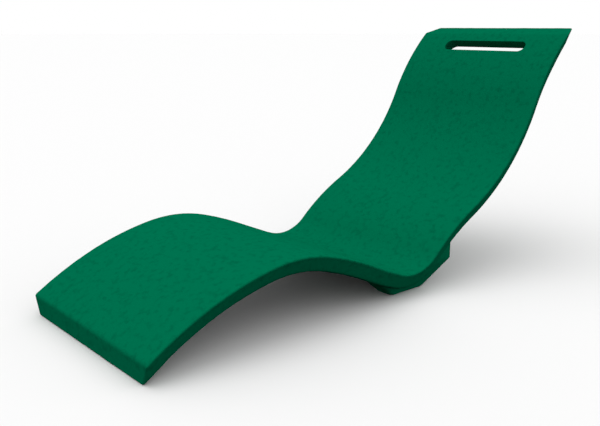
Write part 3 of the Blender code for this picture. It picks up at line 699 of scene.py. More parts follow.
@dataclass
class Slab:
    """The wave-shaped slab: a trapezium section, wide at the seat, carried along the wave."""

    wave: Wave
    half_width: float = 0.3375
    draft: float = 0.0252
    edge: float = 8 * MM
    head_edge: float = 6 * MM
    tip_edge: float = 4.7 * MM
    least_round: float = 0.6 * MM
    foot_zone: float = 0.2  # the underside's stations drift to their own ends inside these lengths
    head_zone: float = 0.35
    stations: int = 326
    hollow_stations: int = 72
    across: int = 94
    corner_steps: int = 3
    end_steps: int = 5
    flash_height: float = 0.12 * MM  # ridge left where the two halves of the mould meet
    side_shares: tuple[float, ...] = (0.035, 0.055, 0.075, 0.2, 0.36, 0.52, 0.68, 0.84)

    def chains(self) -> tuple[np.ndarray, np.ndarray, np.ndarray]:
        """Upper and lower edge line of every ring (n, 2), and how far its sides are drawn in.

        The two lines follow the seat and the underside. At both ends they turn through an arc onto
        the end face, while the sides are drawn in by a quarter circle.
        """
        wave, end = self.wave, self.wave.seat_length()
        back_end = end + wave.back_run()
        seat_start, seat_end = self.edge, end - self.head_edge
        under_start = self.edge * wave.foot_run / np.linalg.norm(
            wave.under(np.array([wave.foot_run]))[0] - np.array((0, wave.foot_low)))
        along = np.linspace(seat_start, seat_end, self.stations)
        upper = wave.seat(along)[:, :2]
        known = (seat_start, self.foot_zone, end - self.head_zone, seat_end)
        runs = (under_start, self.foot_zone, end - self.head_zone, back_end - self.tip_edge)
        lower = wave.under(np.interp(along, known, runs))
        foot_top, foot_low = np.array((0, wave.foot_top)), np.array((0, wave.foot_low))
        head_top, head_tip = wave.seat(np.array([end]))[0, :2], np.array(wave.head_tip)
        down, up = np.array((0.0, -1.0)), np.array((0.0, 1.0))
        face = unit(head_tip - head_top)
        steps = self.end_steps
        upper = np.concatenate([
            round_corner(foot_top, down, unit(upper[0] - foot_top), self.edge, steps)[:-1],
            upper,
            round_corner(head_top, unit(upper[-1] - head_top), face, self.head_edge, steps)[1:],
        ])
        lower = np.concatenate([
            round_corner(foot_low, up, unit(lower[0] - foot_low), self.edge, steps)[:-1],
            lower,
            round_corner(head_tip, unit(lower[-1] - head_tip), -face, self.tip_edge, steps)[1:],
        ])
        drawn = self.edge * (1 - np.sin(math.pi / 2 * np.arange(steps) / steps))
        sides = np.concatenate([drawn, np.zeros(self.stations), drawn[::-1]])
        return upper, lower, sides

    def section(self, depth: np.ndarray, sides: np.ndarray) -> np.ndarray:
        """Rounded trapezium of every ring, as (rings, points, 2) of x and distance below the seat.

        Args:
            depth: Distance between the ring's upper and lower line.
            sides: How far the ring's sides are drawn in.
        """
        top, low = self.half_width - sides, self.half_width - self.draft - sides
        zero = np.zeros_like(depth)
        corners = np.stack([
            np.stack([-top, zero], -1), np.stack([top, zero], -1),
            np.stack([low, depth], -1), np.stack([-low, depth], -1),
        ], axis=1)
        back = unit(np.roll(corners, 1, axis=1) - corners)
        ahead = unit(np.roll(corners, -1, axis=1) - corners)
        slope = np.tan(np.arccos((back * ahead).sum(-1)) / 2)
        reach = np.maximum(self.edge * slope - sides[:, None], self.least_round) / slope
        arcs = round_corner(corners, back, ahead, reach, 2 * self.corner_steps)
        flat, side = inner_shares(self.across), np.array(self.side_shares)
        first, second, third, fourth = (arcs[:, i] for i in range(4))
        half = self.corner_steps
        return np.concatenate([
            first[:, half:], straight(first[:, -1], second[:, 0], flat),
            second, straight(second[:, -1], third[:, 0], side),
            third, straight(third[:, -1], fourth[:, 0], flat),
            fourth, straight(fourth[:, -1], first[:, 0], 1 - side[::-1]),
            first[:, :half],
        ], axis=1)

    def end_grid(self, ring: np.ndarray, offset: int, start: int) -> tuple[np.ndarray, np.ndarray]:
        """Points and quads that fill a ring as a grid, by mixing its four sides.

        A point is the mix of the two sides across plus the mix of the two sides down, less the mix
        of the four corners.

        Args:
            ring: The ring's points (n, 3).
            offset: Index of the ring's first point in the surface.
            start: Index that the grid's first own point will have.
        """
        wide = self.across + 2 * self.corner_steps
        tall = len(ring) // 2 - wide
        index = np.zeros((wide + 1, tall + 1), np.int64)
        index[:, 0] = np.arange(wide + 1)
        index[-1, :] = wide + np.arange(tall + 1)
        index[:, -1] = wide + tall + np.arange(wide + 1)[::-1]
        index[0, :] = (len(ring) - np.arange(tall + 1)) % len(ring)
        top, low, left, right = ring[index[:, 0]], ring[index[:, -1]], ring[index[0]], ring[index[-1]]
        u = np.linspace(0, 1, wide + 1)[1:-1, None, None]
        v = np.linspace(0, 1, tall + 1)[None, 1:-1, None]
        across = (1 - v) * top[1:-1, None] + v * low[1:-1, None]
        down = (1 - u) * left[None, 1:-1] + u * right[None, 1:-1]
        corner = (1 - u) * (1 - v) * top[0] + u * (1 - v) * top[-1]
        corner = corner + (1 - u) * v * low[0] + u * v * low[-1]
        own = (across + down - corner).reshape(-1, 3)
        index += offset
        index[1:-1, 1:-1] = start + np.arange(len(own)).reshape(wide - 1, tall - 1)
        quads = np.stack([index[:-1, :-1], index[1:, :-1], index[1:, 1:], index[:-1, 1:]], -1)
        return own, quads.reshape(-1, 4)

    def surface(self) -> Surface:
        """The whole slab: rings along the wave and a grid on each end face, before the grain."""
        upper, lower, sides = self.chains()
        depth = np.linalg.norm(lower - upper, axis=1)
        section = self.section(depth, sides)
        way = unit(lower - upper)[:, None]
        rings = self.wave.place(section[..., 0], upper[:, None] + way * section[..., 1:])
        count, points = rings.shape[:2]
        total = count * points
        first, first_quads = self.end_grid(rings[0], 0, total)
        last, last_quads = self.end_grid(rings[-1], total - points, total + len(first))
        quads = np.concatenate([ring_faces(count, points), first_quads[:, ::-1], last_quads])
        return Surface(np.concatenate([rings.reshape(-1, 3), first, last]), [quads])

    def raise_flash(self, surface: Surface) -> Surface:
        """Lifts the line of points just below the seat's edge into the thin ridge of the mould split."""
        points = 2 * (self.across + len(self.side_shares) + 1) + 8 * self.corner_steps
        rings = self.stations + 2 * self.end_steps
        place = self.corner_steps + self.across + 2 * self.corner_steps + 2
        columns = np.array((place, (2 * self.corner_steps + self.across - place) % points))
        chosen = (np.arange(rings)[:, None] * points + columns).ravel()
        surface.points[chosen] += surface.outward()[chosen] * self.flash_height
        return surface

    def hollow(self, wall: float) -> Surface:
        """The slab's share of the cavity: plain sections one wall inside every face."""
        wave, end = self.wave, self.wave.seat_length()
        along = np.linspace(2 * wall, end - 2 * wall, self.hollow_stations)
        upper = wave.below(along, wall)
        lower = wave.below(along, wave.thickness(along) - wall)
        top = self.half_width - LEAN_SIDE * wall
        low = self.half_width - self.draft - LEAN_SIDE * wall
        x = np.array((top, -top, -low, low))
        yz = np.stack([upper, upper, lower, lower], axis=1)
        return Surface.from_rings(wave.place(x, yz), flat_ends=True)


@dataclass
class Base:
    """The block under the seat: a U in plan, whose two legs are the runners."""

    wave: Wave
    front: float = 0.9315
    rear: float = 1.0755
    half_width: float = 0.2780
    lean_along: float = 1.246
    lean_across: float = 0.372
    shoulder: float = 0.0887
    relief_half_width: float = 0.217
    relief_rear: float = 1.030
    relief_lean: tuple[float, float] = (-0.05, 0.3)
    sole: float = 1.5 * MM
    front_radius: float = 15 * MM  # plan radii of the corners, and the least inside the cavity
    rear_radius: float = 6 * MM
    least_radius: float = 3 * MM
    mouth_radius: float = 10 * MM
    relief_radius: float = 30 * MM
    relief_runs: tuple[int, ...] = (7, 14, 53, 14, 7)  # on the inner sides, from the left front
    ground_edge: float = 4 * MM
    edge_rows: int = 5
    valley: float = 9 * MM  # radius where the base runs into the underside
    valley_turn: float = 60.0  # degrees of the valley's arc
    valley_rows: int = 6
    valley_past: tuple[float, float] = (4 * MM, 10 * MM)  # straight on from its end, into the slab
    flat_half_width: float = 0.3050  # the underside is flat up to here
    spacing: float = 7 * MM
    wall_rows: int = 18
    top: float = 0.185  # the walls run up to here and are then cut off inside the slab

    def outline(self, height: float, inset: float = 0.0) -> np.ndarray:
        """Plan outline (n, 2) at a height up to the shoulder, counter-clockwise, y from the foot end."""
        half = self.half_width + self.lean_across * height - LEAN_SIDE * inset
        front = self.front - self.lean_along * height + LEAN_BASE * inset
        rear = self.rear + self.lean_along * height - LEAN_BASE * inset
        inner = self.relief_half_width + self.relief_lean[0] * height + inset
        back = self.relief_rear + self.relief_lean[1] * height + inset
        corners = np.array([
            (half, front), (half, rear), (-half, rear), (-half, front),
            (-inner, front), (-inner, back), (inner, back), (inner, front),
        ])
        outer = (self.front_radius, self.rear_radius, self.rear_radius, self.front_radius)
        radii = [max(radius - inset, self.least_radius) for radius in outer]
        relief = self.relief_radius + inset
        radii += [self.mouth_radius, relief, relief, self.mouth_radius]
        side = round((self.rear - self.front) / self.spacing)
        across = round(2 * self.half_width / self.spacing)
        return rounded_outline(corners, radii, (side, across, side, *self.relief_runs))

    def plan(self, height: np.ndarray) -> np.ndarray:
        """Plan points (rows, n, 2) at heights (rows, n): straight up to the shoulder, then upright."""
        low, high = self.outline(0.0), self.outline(self.shoulder)
        share = np.clip(height / self.shoulder, 0, 1)[..., None]
        return low + (high - low) * share

    def ceiling(self) -> np.ndarray:
        """Height at which each column of the wall meets the underside, by halving the interval."""
        count = len(self.outline(0.0))
        low, high = np.zeros(count), np.full(count, self.top)
        for _ in range(HALVINGS):
            middle = (low + high) / 2
            above = middle > self.wave.under_height(self.plan(middle[None])[0, :, 1])
            low, high = np.where(above, low, middle), np.where(above, middle, high)
        return low

    def surface(self) -> Surface:
        """Rings from the sole up into the slab, with a round valley where they meet the underside.

        In the valley a point moves out by the radius less its cosine, while the height left to the
        underside falls as the radius less its sine, and the height follows the underside's slope.
        """
        top = self.ceiling()
        normal = outline_normals(self.outline(0.0))
        turn = np.linspace(0, math.pi / 2, self.edge_rows)[:, None]
        edge_out = -self.ground_edge * (1 - np.sin(turn))
        edge_height = self.sole + self.ground_edge * (1 - np.cos(turn)) + 0 * top
        share = np.linspace(0, 1, self.wall_rows + 1)[1:, None]
        start, end = edge_height[-1], top - self.valley
        wall_height = start + (end - start) * share
        bend = np.radians(np.linspace(0, self.valley_turn, self.valley_rows)[1:, None])
        past = np.array(self.valley_past)[:, None]
        last_out = self.valley * (1 - math.cos(bend[-1, 0])) + past * math.sin(bend[-1, 0])
        last_left = self.valley * (1 - math.sin(bend[-1, 0])) - past * math.cos(bend[-1, 0])
        out = np.concatenate([self.valley * (1 - np.cos(bend)), last_out])
        left = np.concatenate([self.valley * (1 - np.sin(bend)), last_left])
        top_plan = self.plan(top[None])[0]
        room = np.clip((self.flat_half_width - np.abs(top_plan[:, 0])) / last_out[-1], 0, 1)
        height = np.concatenate([edge_height, wall_height, top - left])
        outward = np.concatenate([edge_out + 0 * top, 0 * wall_height, out * room])
        plain = self.plan(height)
        moved = plain + normal * outward[..., None]
        slope = self.wave.under_height(moved[..., 1]) - self.wave.under_height(plain[..., 1])
        height = height + np.where(outward > 0, slope, 0)
        moved = np.concatenate([moved, moved[-1:]])
        height = np.concatenate([height, np.full((1, len(top)), self.top)])
        yz = np.stack([moved[..., 1], height], axis=-1)
        return Surface.from_rings(self.wave.place(moved[..., 0], yz), flat_ends=True)

    def hollow(self, wall: float) -> Surface:
        """The base's share of the cavity: its outline one wall in, from above the sole."""
        heights = np.array((self.sole + wall, self.shoulder, self.top))
        leans = np.minimum(heights, self.shoulder)
        plans = np.stack([self.outline(float(height), wall) for height in leans])
        yz = np.stack([plans[..., 1], heights[:, None] + 0 * plans[..., 1]], axis=-1)
        return Surface.from_rings(self.wave.place(plans[..., 0], yz), flat_ends=True)

    def space_above(self) -> Surface:
        """Everything above the middle of the slab's thickness, which the base doesn't reach into."""
        line = self.wave.below(np.linspace(*BASE_SPAN, 120), self.wave.thick / 2)
        corners = np.array([(line[-1, 0], 1.0), (line[0, 0], 1.0)])
        outline = np.concatenate([line, corners])
        ends = np.array((-0.5, 0.5))[:, None]
        rings = self.wave.place(ends, np.stack([outline] * 2))
        return Surface.from_rings(rings, flat_ends=True)


@dataclass
class HandSlot:
    """The carrying slot through the head end: round-ended, wider at the back, with rolled lips."""

    wave: Wave
    at: float = 2.0970
    half_length: float = 0.186
    radius: float = 0.0238
    flare: float = 9 * MM
    lip: float = 4 * MM
    lip_steps: int = 8
    lip_start: float = 0.2 * MM  # the lips start this far outside the faces
    mouth: float = 3 * MM  # and beyond them the cutter widens by this
    sleeve_reach: float = 50 * MM
    end_steps: int = 24

    def placement(self) -> Placement:
        """Middle of the slot, half way through the slab, with local Z out of the seat."""
        at = np.array([self.at])
        y, z = self.wave.below(at, self.wave.thickness(at) / 2)[0]
        heading = self.wave.seat(at)[0, 2]
        outward = (0.0, -math.sin(heading), math.cos(heading))
        return Placement((0.0, y - self.wave.length / 2, z), outward)

    def outlines(self, heights: np.ndarray, extra: np.ndarray) -> np.ndarray:
        """Slot outlines (levels, n, 2); all grow evenly from the seat face to the back face."""
        half = float(self.wave.thickness(self.at)) / 2
        grow = (extra + self.flare * (half - heights) / (2 * half))[:, None]
        angle = np.linspace(-math.pi / 2, math.pi / 2, self.end_steps + 1)
        side = self.half_length - self.radius
        right = np.stack([side + (self.radius + grow) * np.cos(angle),
                          (self.radius + grow) * np.sin(angle)], axis=-1)
        return np.concatenate([right, -right], axis=1)

    def cutter(self) -> Surface:
        """The space of the slot, with a quarter circle at each face."""
        half = float(self.wave.thickness(self.at)) / 2
        turn = np.linspace(0, math.pi / 2, self.lip_steps + 1)
        extra = self.lip * (1 - np.sin(turn))
        below = self.lip * (1 - np.cos(turn))
        heights = np.concatenate([[half + REACH], half + self.lip_start - below])
        extra = np.concatenate([[self.lip + self.mouth], extra])
        heights = np.concatenate([heights, -heights[::-1]])
        extra = np.concatenate([extra, extra[::-1]])
        return self.placement().loft(self.outlines(heights, extra), heights)

    def sleeve(self, wall: float) -> Surface:
        """The slot's own wall, kept out of the cavity."""
        heights = np.array((-self.sleeve_reach, self.sleeve_reach))
        return self.placement().loft(self.outlines(heights, np.array((wall, wall))), heights)


@dataclass
class ScrewPort:
    """A water port: brass insert, gasket and slotted screw plug, in a recess of the shell.

    Local Z points out of the shell, with its zero on the surface around the port.
    """

    port: Port
    pitch: float = 5 * MM
    thread: float = 0.7 * MM
    thread_radius: float = 16.2 * MM
    face_radius: float = 29 * MM
    face_depth: float = 8 * MM
    boss_radius: float = 33 * MM
    boss_depth: float = 30 * MM
    boss_angles: int = 48
    bore_radius: float = 17.2 * MM
    insert_radius: float = 22.5 * MM
    insert_anchor: float = 26 * MM
    insert_depth: float = 26 * MM
    gasket_radius: float = 24.5 * MM
    gasket_bore: float = 17.5 * MM
    gasket_thick: float = 2 * MM
    plug_radius: float = 26.5 * MM
    plug_head: float = 5.6 * MM
    shank_length: float = 16.5 * MM
    grip_radius: float = 20 * MM
    grip_bar: float = 3.5 * MM
    grip_depth: float = 3.6 * MM
    flutes: int = 30
    angles: int = 120

    def placement(self) -> Placement:
        """The port's place, from the joint that turns its plug."""
        joint = next(j for j in frame["joints"] if j["name"] == f"{self.port.value}_turn")
        return Placement(tuple(joint["pos_m"]), tuple(joint["axis"]))

    def turns(self) -> np.ndarray:
        """Angles of the turned surfaces, one row."""
        return full_turn(self.angles)[None]

    def recess(self) -> Surface:
        """What the port takes out of the shell: rolled rim, flat floor, insert seat and way in."""
        out, floor = self.face_radius, -self.face_depth
        seat, low = self.insert_radius + GAP, -self.insert_depth - GAP
        middle = (floor + low) / 2
        groove = self.insert_anchor + GAP
        line = profile(
            (0, 12 * MM, 0), (out + 3 * MM, 12 * MM, 0), (out + 1.2 * MM, 0.2 * MM, 1.0 * MM),
            (out, -1.4 * MM, 1.0 * MM), (out, floor, 0.8 * MM), (seat, floor, 0),
            (seat, middle + 2.8 * MM, 0), (groove, middle + 1.8 * MM, 0),
            (groove, middle - 1.8 * MM, 0), (seat, middle - 2.8 * MM, 0), (seat, low, 0),
            (self.bore_radius, low, 0), (self.bore_radius, -self.boss_depth - 2 * MM, 0),
            (0, -self.boss_depth - 2 * MM, 0),
        )
        return self.placement().spun(line, self.angles)

    def boss(self) -> Surface:
        """The solid wall around the port, kept out of the cavity."""
        return self.placement().cylinder(self.boss_radius, REACH, -self.boss_depth, self.boss_angles)

    def helix(self, height: np.ndarray) -> np.ndarray:
        """Thread relief from -1 to 1: a right-hand cosine wave that climbs one pitch per turn."""
        return np.cos(2 * math.pi * height / self.pitch - self.turns())

    def make_insert(self) -> bpy.types.Object:
        """Brass bush with an anchor flange, a straight knurl outside and a thread inside."""
        top, low = -self.face_depth - GAP, -self.insert_depth
        middle = (top + low) / 2
        ring, anchor = self.insert_radius, self.insert_anchor
        outside = profile(
            (ring - 1 * MM, top, 0), (ring, top, 0.6 * MM), (ring, middle + 2.5 * MM, 0.4 * MM),
            (anchor, middle + 1.5 * MM, 0.4 * MM), (anchor, middle - 1.5 * MM, 0.4 * MM),
            (ring, middle - 2.5 * MM, 0.4 * MM), (ring, low, 0.6 * MM), (ring - 1 * MM, low, 0),
        )
        height = np.linspace(low, top, 60)[:, None]
        ends = np.minimum(height - low, top - height) / (1.5 * MM)
        crest = self.thread * self.helix(height) * np.clip(ends, 0, 1)
        bore = self.thread_radius + GAP + crest + 0.8 * MM * (1 - np.clip(ends, 0, 1))
        knurl = 1 - 0.008 * (outside[:, :1] > ring - 0.1 * MM) * np.abs(np.sin(24 * self.turns()))
        rows = turned_rows(self.angles, (outside[:, :1] * knurl, outside[:, 1:]), (bore, height))
        surface = self.placement().turned(*rows, closed=True)
        return surface.to_object(f"{self.port.value}_insert_threaded")

    def make_gasket(self) -> bpy.types.Object:
        """Rubber ring with softly rounded edges: its section is a superellipse of the sixth power."""
        low, inner = -self.face_depth + GAP, self.gasket_bore
        across, up = superellipse(28, 6).T[..., None]
        middle, half = (inner + self.gasket_radius) / 2, (self.gasket_radius - inner) / 2
        part = (middle + half * across, low + self.gasket_thick / 2 * (1 + up))
        surface = self.placement().turned(*turned_rows(self.angles, part), closed=True)
        return surface.to_object(f"{self.port.value}_gasket_ring")

    def grip_pockets(self) -> list[bpy.types.Object]:
        """Cutters of the two D-shaped finger pockets, whose walls lean out towards the face."""
        face = -self.face_depth + self.gasket_thick + 2 * GAP + self.plug_head
        levels = face + np.array((-self.grip_depth, -self.grip_depth + 0.8 * MM, -0.8 * MM, 0, 5 * MM))
        grow = np.array((-0.8, 0, 0, 0.7, 3.0)) * MM
        pockets = []
        for side in (1, -1):
            start = math.asin((self.grip_bar + 1 * MM) / self.grip_radius)
            angle = np.linspace(start, math.pi - start, 33)
            arc = self.grip_radius * np.stack([np.cos(angle), side * np.sin(angle)], -1)
            across = straight(arc[-1], arc[0], inner_shares(16))
            outline = np.concatenate([arc, across])
            centre = np.array((0, side * 0.5 * self.grip_radius))
            way = unit(outline - centre)
            rings = outline + way * grow[:, None, None]
            pocket = self.placement().loft(rings, levels)
            pockets.append(pocket.to_object(f"{self.port.value}_pocket_{side}"))
        return pockets

    def make_plug(self) -> bpy.types.Object:
        """Screw plug: crowned and fluted head with two finger pockets, over a threaded hollow shank."""
        under = -self.face_depth + self.gasket_thick + 2 * GAP
        face, end = under + self.plug_head, under - self.shank_length
        rim, root = self.plug_radius, self.thread_radius - self.thread - 0.2 * MM
        head = profile(
            (0, face, 0), (rim - 3 * MM, face, 0.8 * MM), (rim, face - 1.2 * MM, 1.0 * MM),
            (rim, under, 0.5 * MM), (root, under, 0.4 * MM), (root, under - 1.5 * MM, 0),
        )
        height = np.linspace(under - 1.6 * MM, end + 1.2 * MM, 56)[:, None]
        ends = np.clip(np.minimum(height - end - 1.2 * MM, under - 1.6 * MM - height) / (2 * MM), 0, 1)
        shank = root + (self.thread_radius + self.thread * self.helix(height) - root) * ends
        inside = profile(
            (root, end + 1 * MM, 0), (root - 0.2 * MM, end, 0.3 * MM), (root - 2.8 * MM, end, 0.3 * MM),
            (root - 3 * MM, under - 1.5 * MM, 0.8 * MM), (0, under - 1 * MM, 0),
        )
        rim_rows = np.clip((head[:, :1] - rim + 2 * MM) / (2 * MM), 0, 1)
        flute = np.clip(np.cos(self.flutes * self.turns()), 0, 1) ** 2
        outer = head[:, :1] - 0.7 * MM * flute * rim_rows
        rows = turned_rows(
            self.angles, (outer, head[:, 1:]), (shank, height), (inside[:, :1], inside[:, 1:]),
        )
        plug = self.placement().turned(*rows).to_object(f"{self.port.value}_plug_screw")
        return combine(plug, [(Cut.REMOVE, pocket) for pocket in self.grip_pockets()])

    def build(self) -> None:
        """Makes, dresses and hangs the port's three pieces."""
        name = self.port.value
        insert = dress(self.make_insert(), TURNED_BRASS, "frame")
        gasket = dress(self.make_gasket(), PRESSED_RUBBER, f"{name}_seal")
        plug = dress(self.make_plug(), MOULDED_POLYPROPYLENE, f"{name}_plug", 35)
        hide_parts(f"{name}_insert")
        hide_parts(f"{name}_gasket")
        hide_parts(f"{name}_plug")


@dataclass
class RunnerPad:
    """A ribbed rubber pad under one runner, with two countersunk socket screws into brass bushes."""

    side: Side
    corner: float = 8 * MM
    edge: float = 0.8 * MM
    grooves: int = 5
    groove_pitch: float = 9 * MM
    groove_half_width: float = 1 * MM
    groove_depth: float = 1.2 * MM
    screw_spacing: float = 66 * MM
    screw_radius: float = 2.5 * MM
    screw_head: float = 4.6 * MM
    screw_head_depth: float = 2.6 * MM
    screw_sink: float = 1.1 * MM
    screw_length: float = 13.5 * MM
    screw_pitch: float = 0.8 * MM
    bush_radius: float = 4.5 * MM
    bush_top: float = 17.1 * MM
    bush_angles: int = 32
    boss_wall: float = 4 * MM
    boss_floor: float = 3 * MM
    hole_top: float = 20 * MM
    hole_angles: int = 40
    screw_angles: int = 48
    socket_half_width: float = 1.5 * MM

    def name(self) -> str:
        """First words of the names of the pad's pieces."""
        return f"{self.side.name.lower()}_pad"

    def box(self) -> tuple[np.ndarray, np.ndarray]:
        """Lowest and highest corner of the pad."""
        low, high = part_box(self.name())
        return np.array(low), np.array(high)

    def outline(self, grow: float) -> np.ndarray:
        """Plan outline of the pad, larger all round by grow."""
        low, high = self.box()
        x, y = (low[0] - grow, high[0] + grow), (low[1] - grow, high[1] + grow)
        corners = np.array([(x[0], y[0]), (x[1], y[0]), (x[1], y[1]), (x[0], y[1])])
        return rounded_outline(corners, [self.corner + grow] * 4, (5, 16, 5, 16))

    def upright(self) -> Placement:
        """The lounger's own frame."""
        return Placement((0.0, 0.0, 0.0), (0.0, 0.0, 1.0))

    def screw_places(self) -> list[Placement]:
        """Placements of the two screws, pointing up."""
        low, high = self.box()
        x, y = (low[:2] + high[:2]) / 2
        return [Placement((x, y + side * self.screw_spacing / 2, 0.0), (0, 0, 1)) for side in (-1, 1)]

    def plain_parts(self, grow: float, lift: float, radius: float, high: float) -> list[Surface]:
        """The pad and its two bushes as plain closed bodies that start below the floor.

        Args:
            grow: How much larger than the pad the first body is all round.
            lift: How far that body reaches above the pad.
            radius: Radius of the bushes' bodies.
            high: Height that they reach.
        """
        outlines = np.stack([self.outline(grow)] * 2)
        slab = self.upright().loft(outlines, (-REACH, self.box()[1][2] + lift))
        pegs = (place.cylinder(radius, -REACH, high, self.bush_angles) for place in self.screw_places())
        return [slab, *pegs]

    def recess_parts(self) -> list[Surface]:
        """What the pad and its bushes take out of the shell."""
        return self.plain_parts(GAP, GAP, self.bush_radius, self.bush_top)

    def kept_parts(self, wall: float) -> list[Surface]:
        """The floor over the pad and the bosses of its bushes, kept out of the cavity."""
        radius, high = self.bush_radius + self.boss_wall, self.bush_top + self.boss_floor
        return self.plain_parts(wall, GAP + wall, radius, high)

    def make_pad(self) -> bpy.types.Object:
        """The pad: rounded lower edge, round-bottomed grooves across it and two sunk holes."""
        low, high = self.box()
        turn = np.linspace(0, math.pi / 2, 5)
        inset = -self.edge * (1 - np.sin(turn))
        heights = np.concatenate([self.edge * (1 - np.cos(turn)), [high[2]]])
        rings = np.stack([self.outline(float(grow)) for grow in [*inset, 0.0]])
        pad = self.upright().loft(rings, heights).to_object(f"{self.name()}_ribbed")
        cuts = []
        middle = (low[1] + high[1]) / 2
        across, depth = superellipse(20, 4).T
        ends = np.array((low[0] - REACH, high[0] + REACH))[:, None]
        for number in range(self.grooves):
            y = middle + (number - (self.grooves - 1) / 2) * self.groove_pitch
            along = (y + self.groove_half_width * across)[None]
            rings = np.stack(np.broadcast_arrays(ends, along, (self.groove_depth * depth)[None]), axis=-1)
            groove = Surface.from_rings(rings, flat_ends=True)
            cuts.append((Cut.REMOVE, groove.to_object(f"{self.name()}_groove_{number}")))
        for number, place in enumerate(self.screw_places()):
            wide, narrow = self.screw_head + GAP, self.screw_radius + GAP
            sunk = self.screw_sink + 2 * GAP
            line = np.array([
                (0, -REACH), (wide, -REACH), (wide, sunk), (narrow, sunk + self.screw_head_depth),
                (narrow, self.hole_top), (0, self.hole_top),
            ])
            hole = place.spun(line, self.hole_angles)
            cuts.append((Cut.REMOVE, hole.to_object(f"{self.name()}_hole_{number}")))
        return combine(pad, cuts)

    def make_screw(self, number: int, place: Placement) -> bpy.types.Object:
        """Countersunk screw: the radius of its socket rows is a hexagon's, the shank's a helix's.

        A hexagon's radius is its half width over the cosine of the angle from the nearest flat.
        """
        turn = full_turn(self.screw_angles)[None]
        flat = (turn + math.pi / 6) % (math.pi / 3) - math.pi / 6
        hexagon = self.socket_half_width / np.cos(flat)
        low = self.screw_sink
        neck, tip = low + self.screw_head_depth, low + self.screw_length
        socket = np.concatenate([0 * turn, 0.6 * hexagon, hexagon, hexagon, 1.08 * hexagon])
        socket_level = low + np.array((1.8, 1.6, 1.5, 0.15, 0.0))[:, None] * MM
        head = profile(
            (self.screw_head - 1 * MM, low, 0), (self.screw_head - 0.2 * MM, low, 0.15 * MM),
            (self.screw_head, low + 0.3 * MM, 0.1 * MM), (self.screw_radius, neck, 0.2 * MM),
            (self.screw_radius, neck + 0.4 * MM, 0),
        )
        height = np.linspace(neck + 0.5 * MM, tip - 0.8 * MM, 66)[:, None]
        wave = np.cos(2 * math.pi * height / self.screw_pitch - turn)
        shank = self.screw_radius - 0.2 * MM + 0.18 * MM * wave
        end = profile(
            (self.screw_radius - 0.4 * MM, tip - 0.4 * MM, 0),
            (self.screw_radius - 0.9 * MM, tip, 0.1 * MM), (0, tip, 0),
        )
        rows = turned_rows(
            self.screw_angles, (socket, socket_level), (head[:, :1], head[:, 1:]), (shank, height),
            (end[:, :1], end[:, 1:]),
        )
        return place.turned(*rows).to_object(f"{self.name()}_socket_screw_{number}")

    def build(self) -> None:
        """Makes, dresses and hangs the pad and its screws, and dresses the bushes."""
        pad = dress(self.make_pad(), PRESSED_RUBBER, "frame")
        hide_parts(self.name())
        for number, place in enumerate(self.screw_places(), 1):
            screw = dress(self.make_screw(number, place), HEADED_STEEL, "frame")
            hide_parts(f"{self.name()}_screw_{number}")
            bush = frame["nodes"][f"{self.name()}_bush_{number}"]
            bush.data.materials.clear()
            bush.data.materials.append(TURNED_BRASS.material())
            LOG.info("%s: carried over, %s", bush.name, TURNED_BRASS.name)


@dataclass
class Shell:
    """The hollow moulding: slab and base joined, less its cavity, slot, ports and pad recesses."""

    ports: list[ScrewPort]
    pads: list[RunnerPad]
    wall: float = 5 * MM

    def make_cavity(self, slab: Slab, base: Base, slot: HandSlot) -> bpy.types.Object:
        """The space inside the walls."""
        cavity = slab.hollow(self.wall).to_object("cavity")
        kept = [slot.sleeve(self.wall), *(port.boss() for port in self.ports)]
        kept += [part for pad in self.pads for part in pad.kept_parts(self.wall)]
        lower = base.hollow(self.wall).to_object("cavity_base")
        steps = [(Cut.JOIN, combine(lower, [(Cut.REMOVE, base.space_above().to_object("above"))]))]
        steps += [(Cut.REMOVE, part.to_object(f"kept_{i}")) for i, part in enumerate(kept)]
        return combine(cavity, steps)

    def build(self) -> None:
        """Makes, dresses and hangs the skin."""
        wave, grain = Wave(), MouldGrain()
        slab, base, slot = Slab(wave), Base(wave), HandSlot(wave)
        skin = slab.raise_flash(grain.press(slab.surface())).to_object("shell_skin")
        block = grain.press(base.surface()).to_object("base")
        combine(block, [(Cut.REMOVE, base.space_above().to_object("above"))])
        steps = [(Cut.JOIN, block), (Cut.REMOVE, self.make_cavity(slab, base, slot))]
        cuts = [slot.cutter(), *(port.recess() for port in self.ports)]
        cuts += [part for pad in self.pads for part in pad.recess_parts()]
        steps += [(Cut.REMOVE, cut.to_object(f"cut_{i}")) for i, cut in enumerate(cuts)]
        combine(skin, steps)
        dress(skin, MOULDED_POLYETHYLENE, "frame", 50)
        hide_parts("shell")


# --- the studio ----------------------------------------------------------------------------------

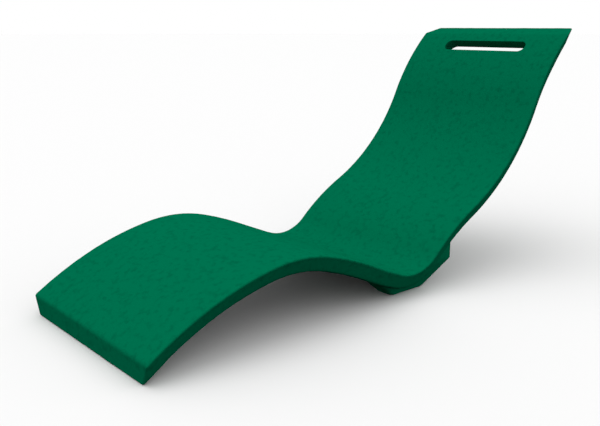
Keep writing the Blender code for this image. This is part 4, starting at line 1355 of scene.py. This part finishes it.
@dataclass(frozen=True)
class Studio:
    """Plain pale floor, an even white sky with one weak lamp, and the camera."""

    floor_radius: float = 90.0
    floor_shade: str = "#eeeeee"
    floor_sides: int = 96
    ground_glow: float = 0.0  # strength of the light from below the horizon: none
    horizon: tuple[float, float] = (-0.06, -0.01)  # the sky begins between these heights
    key_strength: float = 0.50
    key_angle: float = 55.0  # degrees across, so its shadows are soft
    key_tilt: tuple[float, float, float] = (8.0, -10.0, 0.0)
    camera_place: tuple[float, float, float] = (1.8369, -1.7447, 0.8513)
    camera_down: float = 13.84
    camera_heading: float = 49.0
    lens: float = 45.47

    def add_floor(self) -> None:
        """A round floor, flat, of matte paper; it catches shadows and throws no light back."""
        turn = full_turn(self.floor_sides)
        radius = np.array((0.01, 3.0, 20.0, self.floor_radius))[:, None]
        rings = np.stack(np.broadcast_arrays(
            radius * np.cos(turn), radius * np.sin(turn), 0 * turn), axis=-1)
        surface = Surface.from_rings(rings)
        surface.faces.append(np.arange(self.floor_sides)[None])
        floor = surface.to_object("studio_floor")
        material = bpy.data.materials.new("studio_paper")
        material.use_nodes = True
        shader = material.node_tree.nodes["Principled BSDF"]
        shader.inputs["Base Color"].default_value = linear_colour(self.floor_shade)
        shader.inputs["Roughness"].default_value = 1.0
        shader.inputs["Specular IOR Level"].default_value = 0.0
        floor.data.materials.append(material)
        floor.visible_diffuse = False

    def add_light(self) -> None:
        """A white sky above the horizon, and one weak, broad lamp almost overhead."""
        world = bpy.data.worlds.new("studio_sky")
        world.use_nodes = True
        tree = world.node_tree
        sky = tree.nodes["Background"]
        way = add_node(tree, "TexCoord", {}, {}).outputs["Generated"]
        height = add_node(tree, "SeparateXYZ", {}, {"Vector": way}).outputs["Z"]
        low, high = self.horizon
        span = {"From Min": low, "From Max": high, "To Min": self.ground_glow, "To Max": 1.0}
        glow = add_node(tree, "MapRange", span, {"Value": height}).outputs["Result"]
        tree.links.new(glow, sky.inputs["Strength"])
        sky.inputs["Color"].default_value = (1.0, 1.0, 1.0, 1.0)
        bpy.context.scene.world = world
        lamp = bpy.data.lights.new("studio_key", "SUN")
        lamp.energy = self.key_strength
        lamp.angle = math.radians(self.key_angle)
        item = bpy.data.objects.new("studio_key", lamp)
        item.rotation_euler = [math.radians(angle) for angle in self.key_tilt]
        bpy.context.scene.collection.objects.link(item)
        bpy.context.scene.view_settings.view_transform = "Standard"

    def add_camera(self) -> None:
        """A camera at standing height, off the right side of the foot end."""
        camera = bpy.data.objects.new("studio_camera", bpy.data.cameras.new("studio_camera"))
        camera.data.lens = self.lens
        camera.data.clip_end = 3 * self.floor_radius
        camera.location = self.camera_place
        tilt = math.radians(90 - self.camera_down)
        camera.rotation_euler = (tilt, 0.0, math.radians(self.camera_heading))
        bpy.context.scene.collection.objects.link(camera)
        bpy.context.scene.camera = camera

    def build(self) -> None:
        """Adds the camera, the light and the floor."""
        self.add_camera()
        self.add_light()
        self.add_floor()


def main() -> None:
    """Builds the studio and every piece of the lounger."""
    logging.basicConfig(level=logging.INFO, format="%(message)s")
    Studio().build()
    ports = [ScrewPort(port) for port in Port]
    pads = [RunnerPad(side) for side in Side]
    Shell(ports, pads).build()
    for part in (*ports, *pads):
        part.build()


if __name__ == "__main__":
    main()
